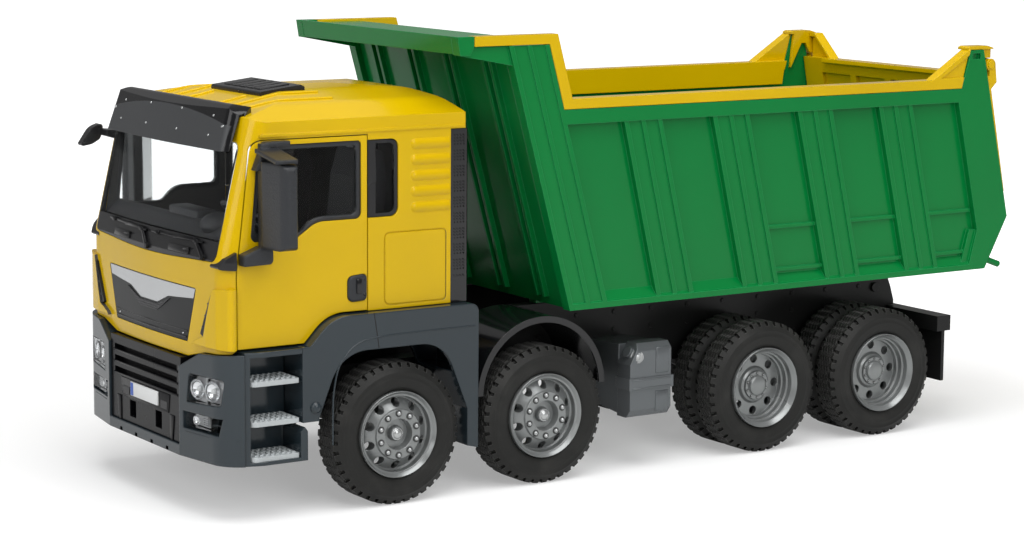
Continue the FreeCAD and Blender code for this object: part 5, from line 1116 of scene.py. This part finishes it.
# %% [markdown]
# ## Doors and mirrors
# Each handle plate carries a thumb lever, a lock and a screw, and each mirror housing a silvered glass.  The
# right-hand mirror is folded back along its door, so its glass lies at a slant.

# %% Fit handles and mirror glass
HANDLE_Y = 72.4
for side, way in (("left", 1), ("right", -1)):
    bm = bmesh.new()
    y, out = way * HANDLE_Y, (0, way, 0)
    strip(bm, (159.6, y, 100.0), (159.6, y, 107.0), 2.6, 0.9, out, soft=0.35)
    dome(bm, (156.6, y, 99.6), out, 0.8, 0.5, segments=14)
    dome(bm, (156.6, y, 106.4), out, 0.5, 0.35, segments=12)
    finished(f"door_lever_{side}", bm, "gloss_black", f"door_{side}")
bm = bmesh.new()
oblong(bm, 78.4, 95.2, 129, 161.4, 203.45, 203.9, soft=0.2)
finished("mirror_glass_left", bm, "chrome", "door_left")
bm = bmesh.new()
strip(bm, (197.6, -77.9, 145.2), (186.7, -88.7, 145.2), 32.4, 0.35, (-1, 1, 0), sink=0.15)
finished("mirror_glass_right", bm, "chrome", "door_right")
print("doors", made_pieces[-4:])

# %% [markdown]
# ## Tanks
# The silver tanks have a round filler cap with a raised grip, two raised lines along their belt, and a raised
# panel above and below it.

# %% Cap the tanks
CAP_AXIS, CAP_PLACE = Vector((0.55, 0.80, 0.25)).normalized(), Vector((4.8, 76.4, 56.2))
bm = bmesh.new()
bar(bm, CAP_PLACE - CAP_AXIS * 1.0, CAP_PLACE + CAP_AXIS * 1.2, 3.4, 3.2, segments=28)
bar(bm, CAP_PLACE + CAP_AXIS * 1.0, CAP_PLACE + CAP_AXIS * 1.9, 2.3, 2.1, segments=24)
dome(bm, CAP_PLACE + CAP_AXIS * 1.8, CAP_AXIS, 1.2, 0.6)
other_side(bm)
finished("tank_caps", bm, "nut_silver")

bm = bmesh.new()
for z in (40.9, 45.1):
    strip(bm, (-14.0, 78.85, z), (9.0, 78.85, z), 0.7, 0.45, (0, 1, 0), soft=0.15, sink=0.1)
for low_z, high_z in ((47.4, 60.6), (28.4, 38.6)):
    corners = [(-13.2, low_z), (-5.4, low_z), (-5.4, high_z), (-13.2, high_z)]
    slab(bm, "xz", corners, 77.8, 78.35, soft=0.25)
other_side(bm)
finished("tank_panels", bm, "tank_silver")
print("tanks", made_pieces[-2:])

# %% [markdown]
# ## Cab inside
# Through the windscreen show a rounded cowl before the steering wheel and two boxes on the dashboard, and
# through the side windows the headrests of the seats.

# %% Dress the dashboard
bm = bmesh.new()
dome(bm, (211.5, 36, 131.0), (0, 0, 1), 9.0, 6.0, segments=28)
block(bm, (203.5, -12, 126), (214, 18, 135.6), soft=1.2)
block(bm, (198.0, -40, 118), (206, -16, 128), soft=1.5)
finished("dash_cowl", bm, "interior_grey")
bm = bmesh.new()
for y in (-36, 36):
    block(bm, (133.0, y - 10, 160.0), (141.0, y + 10, 172.0), soft=2.5, segments=3)
finished("headrests", bm, "interior_grey")
print("cab inside", made_pieces[-2:])

# %% [markdown]
# ## Rear end
# The mud flaps are ribbed, and bolts run along the frame rails: two rows on the subframe and one below.

# %% Finish the rear end and the frame
RIBS, RIB_PITCH = 6, 5.6
bm = bmesh.new()
for number in range(RIBS):
    y = 47.0 + number * RIB_PITCH
    strip(bm, (-196.25, y, 28.0), (-196.25, y, 49.5), 1.6, 0.5, (-1, 0, 0), soft=0.15, sink=0.1)
other_side(bm)
finished("flap_ribs", bm, "frame_black")
RAIL_IN, RAIL_OUT = 36.4, 37.3
bm = bmesh.new()
for x in range(-170, 60, 23):
    for z in (63.0, 72.0):
        bar(bm, (x, RAIL_IN, z), (x, RAIL_OUT, z), 1.3, segments=6)
for x in range(-150, 40, 24):
    bar(bm, (x, RAIL_IN, 52.0), (x, RAIL_OUT, 52.0), 1.2, segments=6)
other_side(bm)
finished("frame_bolts", bm, "frame_black", sharp=25)
print("rear end", made_pieces[-2:])

# %% [markdown]
# ## Close
# The last line prints how many pieces were made and how many faces they have.

# %% Finish
print("pieces", len(made_pieces), "faces", sum(count for _, count in made_pieces))
